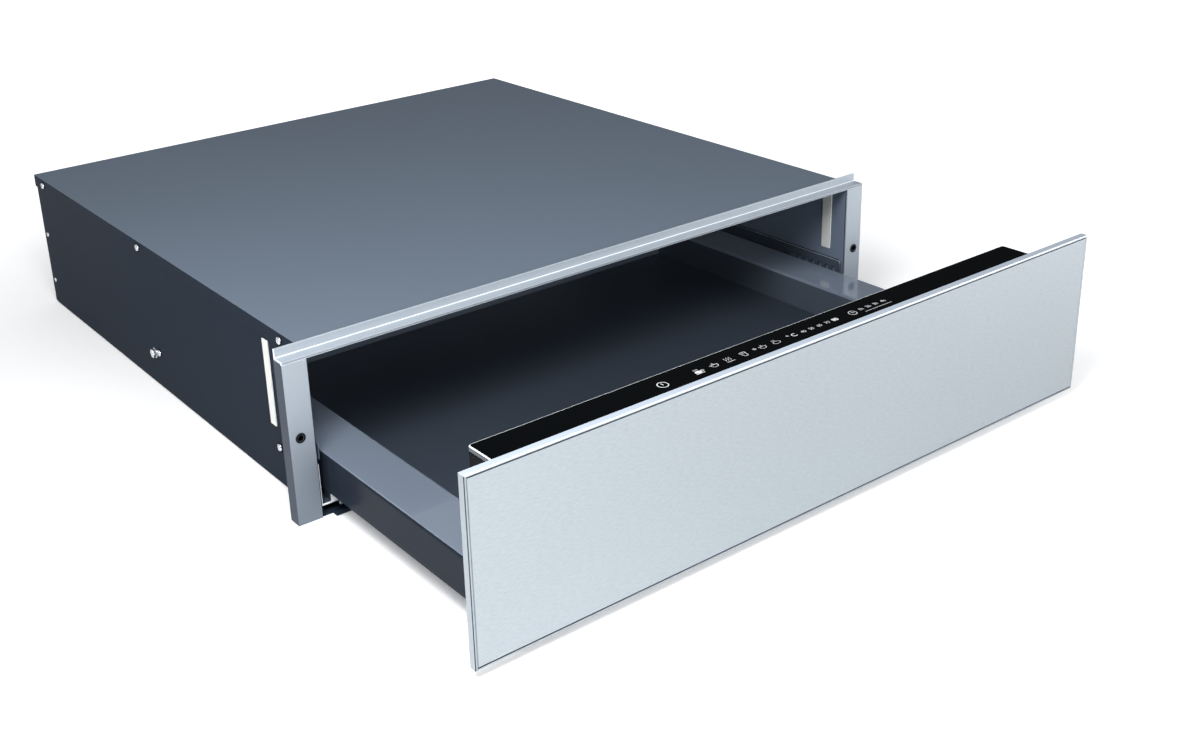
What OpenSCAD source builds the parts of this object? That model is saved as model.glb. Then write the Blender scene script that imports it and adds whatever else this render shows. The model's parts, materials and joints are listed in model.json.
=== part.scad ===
// Built-in warming drawer for a kitchen niche, shown with the drawer part open.
// X runs to the right, Y to the back of the niche and Z up. The origin lies on
// the niche floor, below the middle of the front frame's front face.

/* [Front frame] */
// Width of the front frame
frame_w = 590; // [580:1:600]
// Distance of the frame's shelf below the housing's top
frame_drop = 5; // [3:0.5:9]
// Depth of the posts, from front face to cabinet edge
frame_depth = 12; // [10:0.5:16]
// Width of each post's face
post_w = 19.5; // [17:0.5:24]
// Sheet thickness of posts and top rail
frame_t = 1.5; // [1:0.1:2]
// Depth of the top rail's shelf
shelf_depth = 11.5; // [9:0.5:14]
// Height of the upstand lip above the shelf
lip_h = 7; // [4:0.5:10]
// Height of the rail's front edge
rail_edge_h = 2.4; // [2:0.1:3]
// Height of the fixing holes above the niche floor
fix_z = 69; // [40:1:100]
// Distance of a fixing hole from the post's outer edge
fix_inset = 8.7; // [7.5:0.1:10]
// Outer radius of the fixing grommet's barrel
grommet_r = 3.4; // [3:0.1:4]
// Bore radius of the fixing grommet
grommet_bore_r = 2.2; // [1.8:0.1:2.6]
// Radius of the grommet's flange
grommet_flange_r = 4.1; // [3.8:0.1:5]

/* [Housing] */
// Depth of the housing behind the frame's front face
housing_depth = 556; // [540:1:570]
// Height of the housing
housing_h = 135; // [131:1:138]
// Thickness of the side, rear and partition sheets
sheet_t = 1; // [0.8:0.1:1.5]
// Thickness of the base sheet
base_t = 1.2; // [1:0.1:1.5]
// Thickness of the top cover
cover_t = 0.8; // [0.6:0.1:1.2]
// Depth of the cover's turned-down edges
cover_flange = 11.6; // [9:0.2:14]
// Height of the side panels' lower edge above the niche floor
side_lift = 2.5; // [1.5:0.1:3.5]
// Height of the base's turned-up side edges
base_flange = 5.2; // [4:0.1:5.6]
// Height of the base's turned-up front edge
base_hem = 3.5; // [2:0.1:3.5]
// How far the base's tongue reaches in front of the frame's face
base_reach = 5; // [2:0.5:8]
// Distance of the side panels' front edge behind the frame's face
side_front = 1; // [0:0.1:1.5]
// Width of the strip on each side panel's outside
strip_w = 9; // [7:0.5:12]
// Thickness of the outer strips
strip_t = 0.8; // [0.4:0.1:1.5]
// Distance of an outer strip's upper end below the housing's top
strip_drop = 14; // [12:1:34]
// Height of an outer strip's lower end above the niche floor
strip_z = 51; // [45:1:60]
// Distance of the outer strips behind the frame's front face
strip_y = 60; // [52:1:72]

/* [Drawer] */
// Opening shown, from frame face to the back of the front panel
drawer_open = 224; // [60:1:340]
// Gap left between frame and front panel when shut
closed_gap = 1.8; // [1.5:0.1:2.5]
// Height of the tray's flanges above the niche floor
tray_top = 50; // [48:1:52]
// Height of the tray's lower edge above the niche floor
tray_z = 19; // [17:0.5:20]
// Width of the tray's flat flanges
flange_w = 40; // [36:1:46]
// Running gap between tray and side panel
tray_side_gap = 5.5; // [5:0.1:7]
// Sheet thickness of the tray
tray_t = 1; // [0.8:0.1:1.2]
// Bend radius of the tray's flange edges
bend_r = 2.5; // [1.8:0.1:4]
// Width of the return along the tray's lower edge
return_w = 6; // [4:0.5:9]
// Thickness of the floor mat
mat_t = 2; // [1.5:0.1:3]

/* [Front panel] */
// How far the front panel reaches past the frame on each side
panel_overhang = 2.5; // [0:0.5:5]
// Height of the front panel
panel_h = 134; // [130:1:138]
// Height of the panel's lower edge above the niche floor
panel_z = 6; // [4:0.5:8]
// Thickness of the folded front panel
panel_t = 6; // [5:0.2:8]
// Thickness of the panel's steel skin
skin_t = 1; // [0.8:0.1:1.2]
// Edge radius of the folded skin
edge_r = 0.9; // [0.6:0.1:1.4]

/* [Control strip] */
// Gap between the control box and each side panel
box_gap = 13.5; // [8:0.5:30]
// Depth of the control box behind the front panel
box_depth = 46; // [40:1:52]
// Height of the glass's upper face above the niche floor
glass_z = 126.4; // [125:0.1:127]
// Thickness of the control glass
glass_t = 4; // [3:0.2:5]
// Height of the control box below its glass
box_h = 38; // [32:1:44]
// Wall thickness of the control box
box_wall = 2; // [1.5:0.1:3]
// Corner radius of the glass
glass_r = 3; // [2:0.2:5]

/* [Slides] */
// How much shorter than the tray the cabinet and drawer rails are
rail_short = 20; // [20:1:60]
// How much shorter than these rails the middle rail is
middle_short = 20; // [12:1:60]
// Height of the cabinet rail
rail_h = 24; // [23:0.2:26]
// Sheet thickness of cabinet and drawer rails
rail_t = 1.2; // [1:0.1:1.4]
// Sheet thickness of the middle rail
middle_t = 1; // [0.8:0.1:1.2]
// Radius of the slide's balls
ball_r = 1.15; // [1:0.05:1.3]
// Gap on each side of a ball or a cage
ball_gap = 0.3; // [0.25:0.05:0.35]
// Thickness of the ball cages
cage_t = 0.6; // [0.4:0.05:0.7]
// Length of a ball cage
cage_l = 200; // [160:1:220]
// Overall depth of a slide, from tray wall to bracket
slide_d = 13; // [12:0.1:14]
// Thickness of the slide brackets
bracket_t = 1.5; // [1.2:0.1:2]

/* [Warm air] */
// Depth of the warm-air compartment behind the partition
air_depth = 75.8; // [75.8:0.1:90]
// Outer radius of the fan wheel
fan_r = 44; // [38:1:48]
// Width of the fan wheel
fan_w = 22; // [16:1:26]
// Radius of the fan shaft
shaft_r = 3; // [2.5:0.1:4]
// Radius of the heater ring's centre line
heater_ring_r = 54; // [52:1:57]
// Radius of the heater's tube
heater_r = 3.2; // [2.5:0.1:4]
// Radius of the fan motor
motor_r = 30; // [24:1:34]
// Length of the fan motor
motor_l = 28; // [20:1:30]

/* [Hidden] */
$fn = 48;

// Paint and metal colours
housing_paint = [0.20, 0.24, 0.28];
cover_paint = [0.38, 0.43, 0.49];
frame_metal = [0.70, 0.74, 0.78];
tray_paint = [0.48, 0.53, 0.58];
mat_black = [0.12, 0.14, 0.16];
steel = [0.78, 0.80, 0.83];
zinc = [0.72, 0.73, 0.75];
black_plastic = [0.06, 0.06, 0.07];
white_plastic = [0.90, 0.90, 0.88];
board_green = [0.10, 0.32, 0.20];

// One overrun for every cut, and the gap between pieces that are set into each other
cut = 1;
seat_gap = 0.1;

// Widths, each measured from the middle
frame_half = frame_w / 2;
side_out = frame_half - post_w;
side_in = side_out - sheet_t;
tray_half = side_in - tray_side_gap;
wall_in = tray_half - flange_w;
wall_out = wall_in + tray_t;
cover_gap = 0.3;
cover_half = side_out + cover_gap + cover_t;

// Heights and depths
cover_under = housing_h - cover_t;
frame_h = housing_h - frame_drop;
strip_h = housing_h - strip_drop - strip_z;
post_top = frame_h - frame_t;
rail_edge_z = frame_h - rail_edge_h;
back_y = housing_depth - cover_t;
cover_y = max(frame_depth, shelf_depth) + cover_gap;
floor_top = tray_z + tray_t;
mat_top = floor_top + mat_t;
moved = drawer_open - closed_gap;
rear_gap = 12;
part_y = housing_depth - air_depth;
tray_depth = part_y - rear_gap + closed_gap;
panel_w = frame_w + 2 * panel_overhang;
box_w = 2 * (side_in - box_gap);
inner_h = cover_under - base_t;

// Screws and bolts
middle_screw_share = 0.536;
rear_bolt_share = 0.529;
screw_r = 1.6;
screw_head_r = 3;
screw_head_h = 1.6;
screw_l = 5;
cover_screw_drop = 6;
cover_screw_front = 38;
cover_screw_middle = housing_depth * middle_screw_share;
cover_screw_back = 24;
rear_screw_back = 9.5;
rear_screw_upper = 75;
rear_screw_lower = 27;
bolt_r = 2.4;
bolt_head_r = 4.2;
bolt_head_h = 2.8;
washer_r = 4.6;
washer_t = 0.7;
nut_h = 2;
nut_r = 3.6;
front_bolt_y = 59;
bolt_spacing = 10;
rear_bolt_y = housing_depth * rear_bolt_share;
guide_screw_y = rear_bolt_y - bolt_spacing;
bolt_z = 32;
guide_screw_z = 35;
front_bolt_z = 34;

// Slide heights and places
slide_z = (tray_z + tray_top - tray_t) / 2;
race = 2 * ball_r + 2 * ball_gap;
web_gap = cage_t + 2 * ball_gap;
middle_h = rail_h - 2 * (rail_t + race);
drawer_rail_h = middle_h - 2 * (middle_t + race);
cabinet_out = wall_out + slide_d;
middle_out = cabinet_out - rail_t - web_gap;
drawer_tip = middle_out - middle_t - web_gap;
middle_tip = wall_out + rail_t + web_gap;
cabinet_tip = middle_tip + web_gap;
outer_ball_x = (cabinet_tip + cabinet_out - rail_t) / 2;
inner_ball_x = (middle_tip + drawer_tip) / 2;
cabinet_rail_l = tray_depth - rail_short;
drawer_rail_l = tray_depth - rail_short;
middle_rail_l = cabinet_rail_l - middle_short;
cabinet_rail_y = 8;
middle_rail_y = 14;
drawer_rail_y = 10;
cage_y = 130;
cage_balls = 6;
cage_edge = 2.2;
middle_share = 0.5;
outer_cage_share = 0.25;
inner_cage_share = 0.75;
bracket_y = 3;
bracket_z = 7.6;
bracket_top = 42;
front_bracket_l = 66;
rear_bracket_l = 40;
rear_bracket_y = rear_bolt_y - (rear_bracket_l + washer_r) / 2;

// Guide rails above the tray's flanges
guide_top = 59;
guide_h = 13;
guide_t = 1.2;
guide_d = 2.7;
guide_y = 2;
guide_short = 12;
guide_l = cabinet_rail_l - guide_short;
guide_corner_r = 3;
notch_w = 4;
notch_h = 5.6;
notch_step = 8.5;
notches = 8;

// Places behind the partition
mid_z = base_t + inner_h / 2;
fan_gap = 7;
fan_y = part_y + sheet_t + fan_gap;
motor_gap = 4;
motor_y = fan_y + fan_w + motor_gap;
latch_x = 120;
latch_z = slide_z;
latch_r = 3.5;
latch_travel = 3.5;
striker_t = 1.5;
striker_gap = 0.5;
latch_tip_y = tray_depth - closed_gap + striker_t + striker_gap;
gland_inset = 84.5;
gland_x = side_in - gland_inset;
gland_z = 40;
gland_r = 7;
gland_bore_r = 4;
gland_in = 12;
gland_out = 2.8;
board_w = 128;
board_inset = 34.5;
board_x = side_in - board_w - board_inset;
board_z = 18;
board_h = 96;
board_t = 1.6;
spacer_l = 6;
board_y = back_y - sheet_t - spacer_l - board_t;

// Shared shapes

// A box between two corners
module block(low, high) {
    translate(low) cube(high - low);
}

// Extrudes a profile drawn in X and Z along Y
module along_y(start, length) {
    translate([0, start + length, 0]) rotate([90, 0, 0]) linear_extrude(length) children();
}

// Extrudes a profile drawn in Y and Z along X
module along_x(start, length) {
    translate([start, 0, 0]) rotate([90, 0, 90]) linear_extrude(length) children();
}

// A round bar along X or along Y
module bar_x(radius, start, end) {
    translate([start, 0, 0]) rotate([0, 90, 0]) cylinder(r = radius, h = end - start);
}
module bar_y(radius, start, end) {
    translate([0, start, 0]) rotate([-90, 0, 0]) cylinder(r = radius, h = end - start);
}

// The right-hand shape and its mirror image
module both_sides() {
    children();
    mirror([1, 0, 0]) children();
}

module left_side() {
    mirror([1, 0, 0]) children();
}

// Puts a piece of the drawer, drawn from the panel's back face, at the opening shown
module in_drawer() {
    translate([0, -drawer_open, 0]) children();
}

// Puts a piece drawn shut at its share of the drawer's travel
module carried(share) {
    translate([0, -moved * share, 0]) children();
}

// A rectangle with four round corners
module round_rect(width, height, radius) {
    translate([radius, 0]) square([width - 2 * radius, height]);
    translate([0, radius]) square([width, height - 2 * radius]);
    for (x = [radius, width - radius], y = [radius, height - radius])
        translate([x, y]) circle(radius);
}

// A rectangle whose two upper corners are round
module round_top(width, height, radius) {
    square([width, height - radius]);
    translate([radius, 0]) square([width - 2 * radius, height]);
    for (x = [radius, width - radius])
        translate([x, height - radius]) circle(radius);
}

// A slot with round ends, standing up along its second axis
module slot_shape(width, height) {
    translate([0, width / 2]) square([width, height - width]);
    for (y = [width / 2, height - width / 2])
        translate([width / 2, y]) circle(width / 2);
}

// A pan-head screw pointing to the middle, its head's seat at X = 0
module side_screw() {
    bar_x(screw_head_r, 0, screw_head_h / 2);
    translate([screw_head_h / 2, 0, 0]) rotate([0, 90, 0])
        cylinder(r1 = screw_head_r, r2 = screw_head_r / 2, h = screw_head_h / 2);
    bar_x(screw_r, -screw_l, 0);
}

// Housing

module cover_screw_places() {
    for (y = [cover_screw_front, cover_screw_middle, housing_depth - cover_screw_back])
        translate([cover_half, y, housing_h - cover_screw_drop]) children();
}

module rear_screw_places() {
    for (z = [rear_screw_upper, rear_screw_lower])
        translate([side_out, back_y - rear_screw_back, z]) children();
}

module slide_bolt_places() {
    translate([side_out, front_bolt_y, front_bolt_z]) children();
    translate([side_out, rear_bolt_y, bolt_z]) children();
    translate([side_out, guide_screw_y, guide_screw_z]) children();
}

module top_cover() {
    fall = cover_flange;
    color(cover_paint) difference() {
        union() {
            along_y(cover_y, housing_depth - cover_y)
                translate([-cover_half, housing_h - fall]) difference() {
                    round_top(2 * cover_half, fall, cover_t);
                    translate([cover_t, -cut]) square([2 * (cover_half - cover_t), fall - cover_t + cut]);
                }
            block([-cover_half, back_y, housing_h - fall], [cover_half, housing_depth, cover_under]);
        }
        both_sides() cover_screw_places() bar_x(screw_r + seat_gap, -cover_t - cut, cut);
    }
}

module side_panel() {
    rear_hole = screw_r + seat_gap;
    difference() {
        union() {
            block([side_in, side_front, side_lift], [side_out, back_y, rail_edge_z]);
            block([side_in, shelf_depth, side_lift], [side_out, back_y, cover_under]);
        }
        cover_screw_places() bar_x(rear_hole, -cover_half, 0);
        rear_screw_places() bar_x(rear_hole, -sheet_t - cut, cut);
        slide_bolt_places() bar_x(bolt_r + seat_gap, -sheet_t - cut, cut);
    }
}

module left_side_panel() {
    color(housing_paint) left_side() side_panel();
}

module right_side_panel() {
    color(housing_paint) side_panel();
}

bead_w = 26;
bead_h = 1.6;
bead_margin = 60;
bead_share = 0.55;
bead_step = side_in * bead_share;
tongue_inset = 8;
base_flange_front = 4;

module base_panel() {
    bead_l = part_y - 2 * bead_margin;
    tongue_half = side_in - tongue_inset;
    color(housing_paint) difference() {
        union() {
            block([-side_in, side_front, 0], [side_in, back_y, base_t]);
            block([-tongue_half, -base_reach, 0], [tongue_half, side_front, base_t]);
            block([-tongue_half, -base_reach, 0], [tongue_half, base_t - base_reach, base_hem]);
            both_sides() block([side_in - base_t, base_flange_front, 0],
                [side_in, back_y - sheet_t - cover_flange, base_flange]);
            for (i = [-1:1]) translate([i * bead_step - bead_w / 2, bead_margin, base_t])
                linear_extrude(bead_h) slot_shape(bead_w, bead_l);
        }
        for (i = [-1:1]) translate([i * bead_step - bead_w / 2 + base_t, bead_margin + base_t, -cut])
            linear_extrude(bead_h + cut) slot_shape(bead_w - 2 * base_t, bead_l - 2 * base_t);
    }
}

vent_w = 3;
vent_l = 26;
vent_step = 9;
vent_count = 12;
vent_drop = 17;
vent_z = housing_h - vent_drop - vent_l;

module rear_panel() {
    flange_y = back_y - sheet_t - cover_flange;
    color(housing_paint) difference() {
        union() {
            block([-side_in, back_y - sheet_t, base_t], [side_in, back_y, cover_under]);
            both_sides() block([side_in - sheet_t, flange_y, base_t], [side_in, back_y, cover_under]);
        }
        both_sides() rear_screw_places() bar_x(screw_r + seat_gap, -post_w, cut);
        for (i = [0:vent_count - 1]) translate([(i - (vent_count - 1) / 2) * vent_step - vent_w / 2, 0, vent_z])
            along_y(back_y - sheet_t - cut, sheet_t + 2 * cut) slot_shape(vent_w, vent_l);
        translate([-gland_x, 0, gland_z]) bar_y(gland_r + seat_gap, back_y - sheet_t - cut, back_y + cut);
    }
}

rail_round_share = 0.45;

// Z-shaped rail: a front edge, a shelf and an upstand lip
module frame_top_rail() {
    edge = frame_t * rail_round_share;
    color(frame_metal) along_x(-frame_half, frame_w) {
        translate([0, rail_edge_z]) round_top(frame_t, rail_edge_h, edge);
        translate([edge, post_top]) square([shelf_depth - edge, frame_t]);
        translate([shelf_depth - frame_t, post_top]) round_top(frame_t, frame_t + lip_h, edge);
    }
}

module fix_hole_place() {
    translate([frame_half - fix_inset, 0, fix_z]) children();
}

// Channel post: a face, and a return on each side up to the shelf
module frame_post() {
    difference() {
        union() {
            block([side_out, 0, 0], [frame_half, frame_t, rail_edge_z]);
            for (x = [side_out, frame_half - frame_t])
                block([x, frame_t / 2, 0], [x + frame_t, frame_depth, rail_edge_z]);
            for (x = [side_out, frame_half - frame_t])
                block([x, frame_t, 0], [x + frame_t, frame_depth, post_top]);
        }
        fix_hole_place() bar_y(grommet_r + seat_gap, -cut, frame_t + cut);
    }
}

module left_frame_post() {
    color(frame_metal) left_side() frame_post();
}

module right_frame_post() {
    color(frame_metal) frame_post();
}

grommet_proud = 0.5;
grommet_l = 5;

module frame_grommets() {
    color(black_plastic) both_sides() fix_hole_place() difference() {
        union() {
            bar_y(grommet_flange_r, -grommet_proud, 0);
            bar_y(grommet_r, -grommet_proud, grommet_l);
        }
        bar_y(grommet_bore_r, -grommet_proud - cut, grommet_l + cut);
    }
}

glide_y = 17;
glide_w = 10.5;
glide_z = 67;
glide_h = 54;
glide_t = 1;

// White strips glued to the outside of the side panels
module outer_side_strips() {
    color(white_plastic) both_sides() along_x(side_out, strip_t)
        translate([strip_y, strip_z]) round_rect(strip_w, strip_h, strip_t);
}

module inner_glide_strips() {
    color(white_plastic) both_sides() along_x(side_in - glide_t, glide_t)
        translate([glide_y, glide_z]) round_rect(glide_w, glide_h, glide_t);
}

// Folded guide above the tray's flange, with vent notches along its lower edge
module guide_rail() {
    low = guide_top - guide_h;
    difference() {
        union() {
            along_x(side_in - guide_d, guide_t) translate([guide_y, low]) {
                square([guide_l, guide_h - guide_corner_r]);
                translate([guide_corner_r, 0]) square([guide_l - guide_corner_r, guide_h]);
                translate([guide_corner_r, guide_h - guide_corner_r]) circle(guide_corner_r);
            }
            block([side_in - guide_d, guide_y + guide_corner_r, guide_top - guide_t],
                [side_in, guide_y + guide_l, guide_top]);
        }
        for (i = [1:notches]) along_x(side_in - guide_d - cut, guide_t + 2 * cut)
            translate([guide_y + i * notch_step - notch_w / 2, low - notch_w]) slot_shape(notch_w, notch_h + notch_w);
    }
}

module left_guide_rail() {
    color(housing_paint) left_side() guide_rail();
}

module right_guide_rail() {
    color(housing_paint) guide_rail();
}

module cover_screws() {
    color(zinc) both_sides() cover_screw_places() side_screw();
}

module rear_edge_screws() {
    color(zinc) both_sides() rear_screw_places() side_screw();
}

// Hex bolts through side panel and bracket, each with a washer and a nut
module slide_bolt() {
    inner = side_out - side_in + bracket_t;
    bar_x(washer_r, 0, washer_t);
    rotate([0, 90, 0]) cylinder(r = bolt_head_r, h = washer_t + bolt_head_h, $fn = 6);
    bar_x(bolt_r, -inner - nut_h, 0);
    translate([-inner - nut_h, 0, 0]) rotate([0, 90, 0]) cylinder(r = nut_r, h = nut_h, $fn = 6);
}

module slide_bolts() {
    color(zinc) both_sides() {
        translate([side_out, front_bolt_y, front_bolt_z]) side_screw();
        translate([side_out, rear_bolt_y, bolt_z]) slide_bolt();
        translate([side_out, guide_screw_y, guide_screw_z]) side_screw();
    }
}

// Slides

// Bracket bolted to the side panel, which passes below the tray's edge and carries the slide
module slide_bracket(start, length) {
    inner_top = slide_z + rail_h / 2;
    difference() {
        union() {
            block([side_in - bracket_t, start, bracket_z], [side_in, start + length, bracket_top]);
            block([cabinet_out, start, bracket_z], [side_in, start + length, bracket_z + bracket_t]);
            block([cabinet_out, start, bracket_z], [cabinet_out + bracket_t, start + length, inner_top]);
        }
        slide_bolt_places() bar_x(bolt_r + seat_gap, -sheet_t - bracket_t - cut, cut);
    }
}

stop_inset = 3;
stop_w = 8;
stop_h = 7;
stop_l = 9;
tab_gap = 0.6;
hook_drop = 4.4;
hook_w = 7.5;
hook_l = 7;

// Front end of the slide: an upright tab, a stop block beside it and a hook below
module bracket_front_end() {
    tab_out = tray_half - stop_inset;
    floor_z = bracket_z + bracket_t;
    block([tab_out - bracket_t, bracket_y, bracket_z], [tab_out, bracket_y + stop_l, tray_z - tab_gap]);
    along_y(bracket_y, stop_l) translate([tab_out - stop_w, floor_z])
        round_top(stop_w - bracket_t, stop_h, bracket_t);
    along_y(bracket_y, hook_l) translate([tab_out - stop_w, bracket_z - hook_drop]) difference() {
        translate([bracket_t - hook_w, 0]) round_rect(hook_w, hook_drop + bracket_t, bracket_t);
        translate([-hook_w, bracket_t]) square([hook_w, hook_drop - bracket_t]);
    }
}

module slide_brackets() {
    bracket_front_end();
    slide_bracket(bracket_y, front_bracket_l);
    slide_bracket(rear_bracket_y, rear_bracket_l);
}

module left_slide_brackets() {
    color(zinc) left_side() slide_brackets();
}

module right_slide_brackets() {
    color(zinc) slide_brackets();
}

// Channel rail: a web from X = web to X = web + thick, and two flanges reaching to X = tip
module channel_rail(web, thick, tip, height, start, length) {
    low = min(web, tip);
    high = max(web + thick, tip);
    block([web, start, slide_z - height / 2], [web + thick, start + length, slide_z + height / 2]);
    for (z = [slide_z - height / 2, slide_z + height / 2 - thick])
        block([low, start, z], [high, start + length, z + thick]);
}

// Lips that keep the balls on their track
lip_drop = 0.8;

module rail_lips(x, thick, height, start, length) {
    for (z = [slide_z - height / 2 + thick, slide_z + height / 2 - thick - lip_drop])
        block([x, start, z], [x + thick / 2, start + length, z + lip_drop]);
}

module cabinet_rail() {
    channel_rail(cabinet_out - rail_t, rail_t, cabinet_tip, rail_h, cabinet_rail_y, cabinet_rail_l);
    rail_lips(cabinet_tip, rail_t, rail_h, cabinet_rail_y, cabinet_rail_l);
}

module middle_rail() {
    carried(middle_share) {
        channel_rail(middle_out - middle_t, middle_t, middle_tip, middle_h, middle_rail_y, middle_rail_l);
        rail_lips(middle_tip, middle_t, middle_h, middle_rail_y, middle_rail_l);
    }
}

module drawer_rail() {
    in_drawer() channel_rail(wall_out, rail_t, drawer_tip, drawer_rail_h, drawer_rail_y, drawer_rail_l);
}

// Ball cage: two drilled strips joined by a web, and the balls they hold
module ball_cage(ball_x, web, height) {
    strip_low = ball_x - ball_r - cage_edge / 2;
    pitch = cage_l / cage_balls;
    difference() {
        union() {
            block([web, cage_y, slide_z - height / 2], [web + cage_t, cage_y + cage_l, slide_z + height / 2]);
            for (z = [-height / 2, height / 2]) block([strip_low, cage_y, slide_z + z - cage_t / 2],
                [web + cage_t, cage_y + cage_l, slide_z + z + cage_t / 2]);
        }
        for (i = [0:cage_balls - 1]) translate([ball_x, cage_y + (i + 0.5) * pitch, slide_z - height])
            cylinder(r = ball_r + seat_gap, h = 2 * height);
    }
    for (i = [0:cage_balls - 1], z = [-height / 2, height / 2])
        translate([ball_x, cage_y + (i + 0.5) * pitch, slide_z + z]) sphere(ball_r);
}

module outer_cage() {
    carried(outer_cage_share) ball_cage(outer_ball_x, middle_out + ball_gap, middle_h + race);
}

module inner_cage() {
    carried(inner_cage_share) ball_cage(inner_ball_x, drawer_tip + ball_gap, drawer_rail_h + race);
}

module left_cabinet_rail() {
    color(zinc) left_side() cabinet_rail();
}

module right_cabinet_rail() {
    color(zinc) cabinet_rail();
}

module left_middle_rail() {
    color(zinc) left_side() middle_rail();
}

module right_middle_rail() {
    color(zinc) middle_rail();
}

module left_drawer_rail() {
    color(zinc) left_side() drawer_rail();
}

module right_drawer_rail() {
    color(zinc) drawer_rail();
}

module left_outer_cage() {
    color(steel) left_side() outer_cage();
}

module right_outer_cage() {
    color(steel) outer_cage();
}

module left_inner_cage() {
    color(steel) left_side() inner_cage();
}

module right_inner_cage() {
    color(steel) inner_cage();
}

// Warm-air unit behind the partition

grille_rings = 4;
grille_step = 8;
grille_hole_r = 2;
outlet_w = 3.2;
outlet_l = 46;
outlet_step = 9;
outlet_count = 9;
outlet_inset = 106.5;
outlet_x = side_in - outlet_inset;
latch_hole_gap = 0.5;

module rear_partition() {
    half = side_in - base_t;
    color(housing_paint) difference() {
        block([-half, part_y, base_t], [half, part_y + sheet_t, cover_under]);
        translate([0, 0, mid_z]) {
            bar_y(grille_hole_r, part_y - cut, part_y + sheet_t + cut);
            for (ring = [1:grille_rings], i = [0:6 * ring - 1]) rotate([0, i * 60 / ring, 0])
                translate([ring * grille_step, 0, 0]) bar_y(grille_hole_r, part_y - cut, part_y + sheet_t + cut);
        }
        both_sides() for (i = [0:outlet_count - 1])
            translate([outlet_x + i * outlet_step - outlet_w / 2, 0, mid_z])
                along_y(part_y - cut, sheet_t + 2 * cut) slot_shape(outlet_w, outlet_l);
        translate([-latch_x, 0, latch_z]) bar_y(latch_r + latch_hole_gap, part_y - cut, part_y + sheet_t + cut);
    }
}

blades = 16;
blade_t = 1.2;
blade_arc_r = 16;
blade_sweep = 60;
blade_reach_share = 0.72;
hub_r = 9;
plate_t = 1.5;
ring_w = 8;
hub_l = 12;

module fan_wheel() {
    color(steel) translate([0, 0, mid_z]) difference() {
        union() {
            bar_y(fan_r, fan_y + fan_w - plate_t, fan_y + fan_w);
            bar_y(hub_r, fan_y + fan_w - hub_l, fan_y + fan_w);
            difference() {
                bar_y(fan_r, fan_y, fan_y + plate_t);
                bar_y(fan_r - ring_w, fan_y - cut, fan_y + plate_t + cut);
            }
            for (i = [0:blades - 1]) rotate([0, i * 360 / blades, 0])
                translate([fan_r * blade_reach_share, fan_y + fan_w - plate_t, -blade_arc_r])
                    rotate([90, 0, 0]) rotate([0, 0, 90 - blade_sweep / 2])
                        rotate_extrude(angle = blade_sweep)
                            translate([blade_arc_r - blade_t, 0]) square([blade_t, fan_w - plate_t]);
        }
        bar_y(shaft_r, fan_y, fan_y + fan_w + cut);
    }
}

shaft_run = 0.05;
shaft_in = 14;

module fan_shaft() {
    color(zinc) translate([0, 0, mid_z])
        bar_y(shaft_r, fan_y + fan_w - hub_l, motor_y + bracket_t + shaft_in);
}

motor_bore_gap = 1;
heater_arc = 320;
heater_leg = 24;
bracket_half = 64;
bracket_foot = 18;
bracket_margin = 3;
rib_step = 9;
rib_depth = 1.5;
rib_w = 2;

module heater_leg_places() {
    for (side = [-1, 1]) rotate([0, 90 + side * (180 - heater_arc / 2), 0])
        translate([heater_ring_r, 0, 0]) children();
}

module motor_bracket() {
    high = cover_under - bracket_margin;
    color(zinc) difference() {
        union() {
            block([-bracket_half, motor_y, base_t], [bracket_half, motor_y + bracket_t, high]);
            block([-bracket_half, motor_y, base_t], [bracket_half, motor_y + bracket_foot, base_t + bracket_t]);
        }
        translate([0, 0, mid_z]) {
            bar_y(shaft_r + motor_bore_gap, motor_y - cut, motor_y + bracket_t + cut);
            heater_leg_places() bar_y(heater_r + seat_gap, motor_y - cut, motor_y + bracket_t + cut);
        }
    }
}

// A broken ring round the fan wheel, with a straight leg back through the bracket at each end
module heater_ring() {
    mid_y = fan_y + fan_w / 2;
    color(zinc) translate([0, 0, mid_z]) {
        translate([0, mid_y, 0]) rotate([-90, 270 - heater_arc / 2, 0])
            rotate_extrude(angle = heater_arc) translate([heater_ring_r, 0]) circle(heater_r);
        heater_leg_places() {
            translate([0, mid_y, 0]) sphere(heater_r);
            bar_y(heater_r, mid_y, mid_y + heater_leg);
        }
    }
}

module fan_motor() {
    start = motor_y + bracket_t;
    color(zinc) translate([0, 0, mid_z]) difference() {
        union() {
            bar_y(motor_r, start, start + motor_l);
            bar_y(motor_r + rib_w, start, start + rib_w);
            bar_y(motor_r + rib_w, start + motor_l - rib_w, start + motor_l);
        }
        bar_y(shaft_r + shaft_run, start - cut, start + shaft_in + cut);
        for (i = [0:7]) rotate([0, i * 45, 0]) translate([motor_r * middle_share, 0, 0])
            bar_y(rib_w, start + motor_l - rib_depth, start + motor_l + cut);
    }
}

module board_spacers() {
    margin = 2 * spacer_l;
    color(zinc) for (x = [board_x + margin, board_x + board_w - margin], z = [board_z + margin, board_z + board_h - margin])
        translate([x, 0, z]) bar_y(spacer_l / 2, board_y + board_t, back_y - sheet_t);
}

module power_board() {
    color(board_green) block([board_x, board_y, board_z], [board_x + board_w, board_y + board_t, board_z + board_h]);
}

coil_w = 36;
coil_d = 28;
relay_w = 20;
relay_d = 15;
relay_h = 28;
can_r = 6;
can_l = 20;
part_margin = 8;

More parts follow.
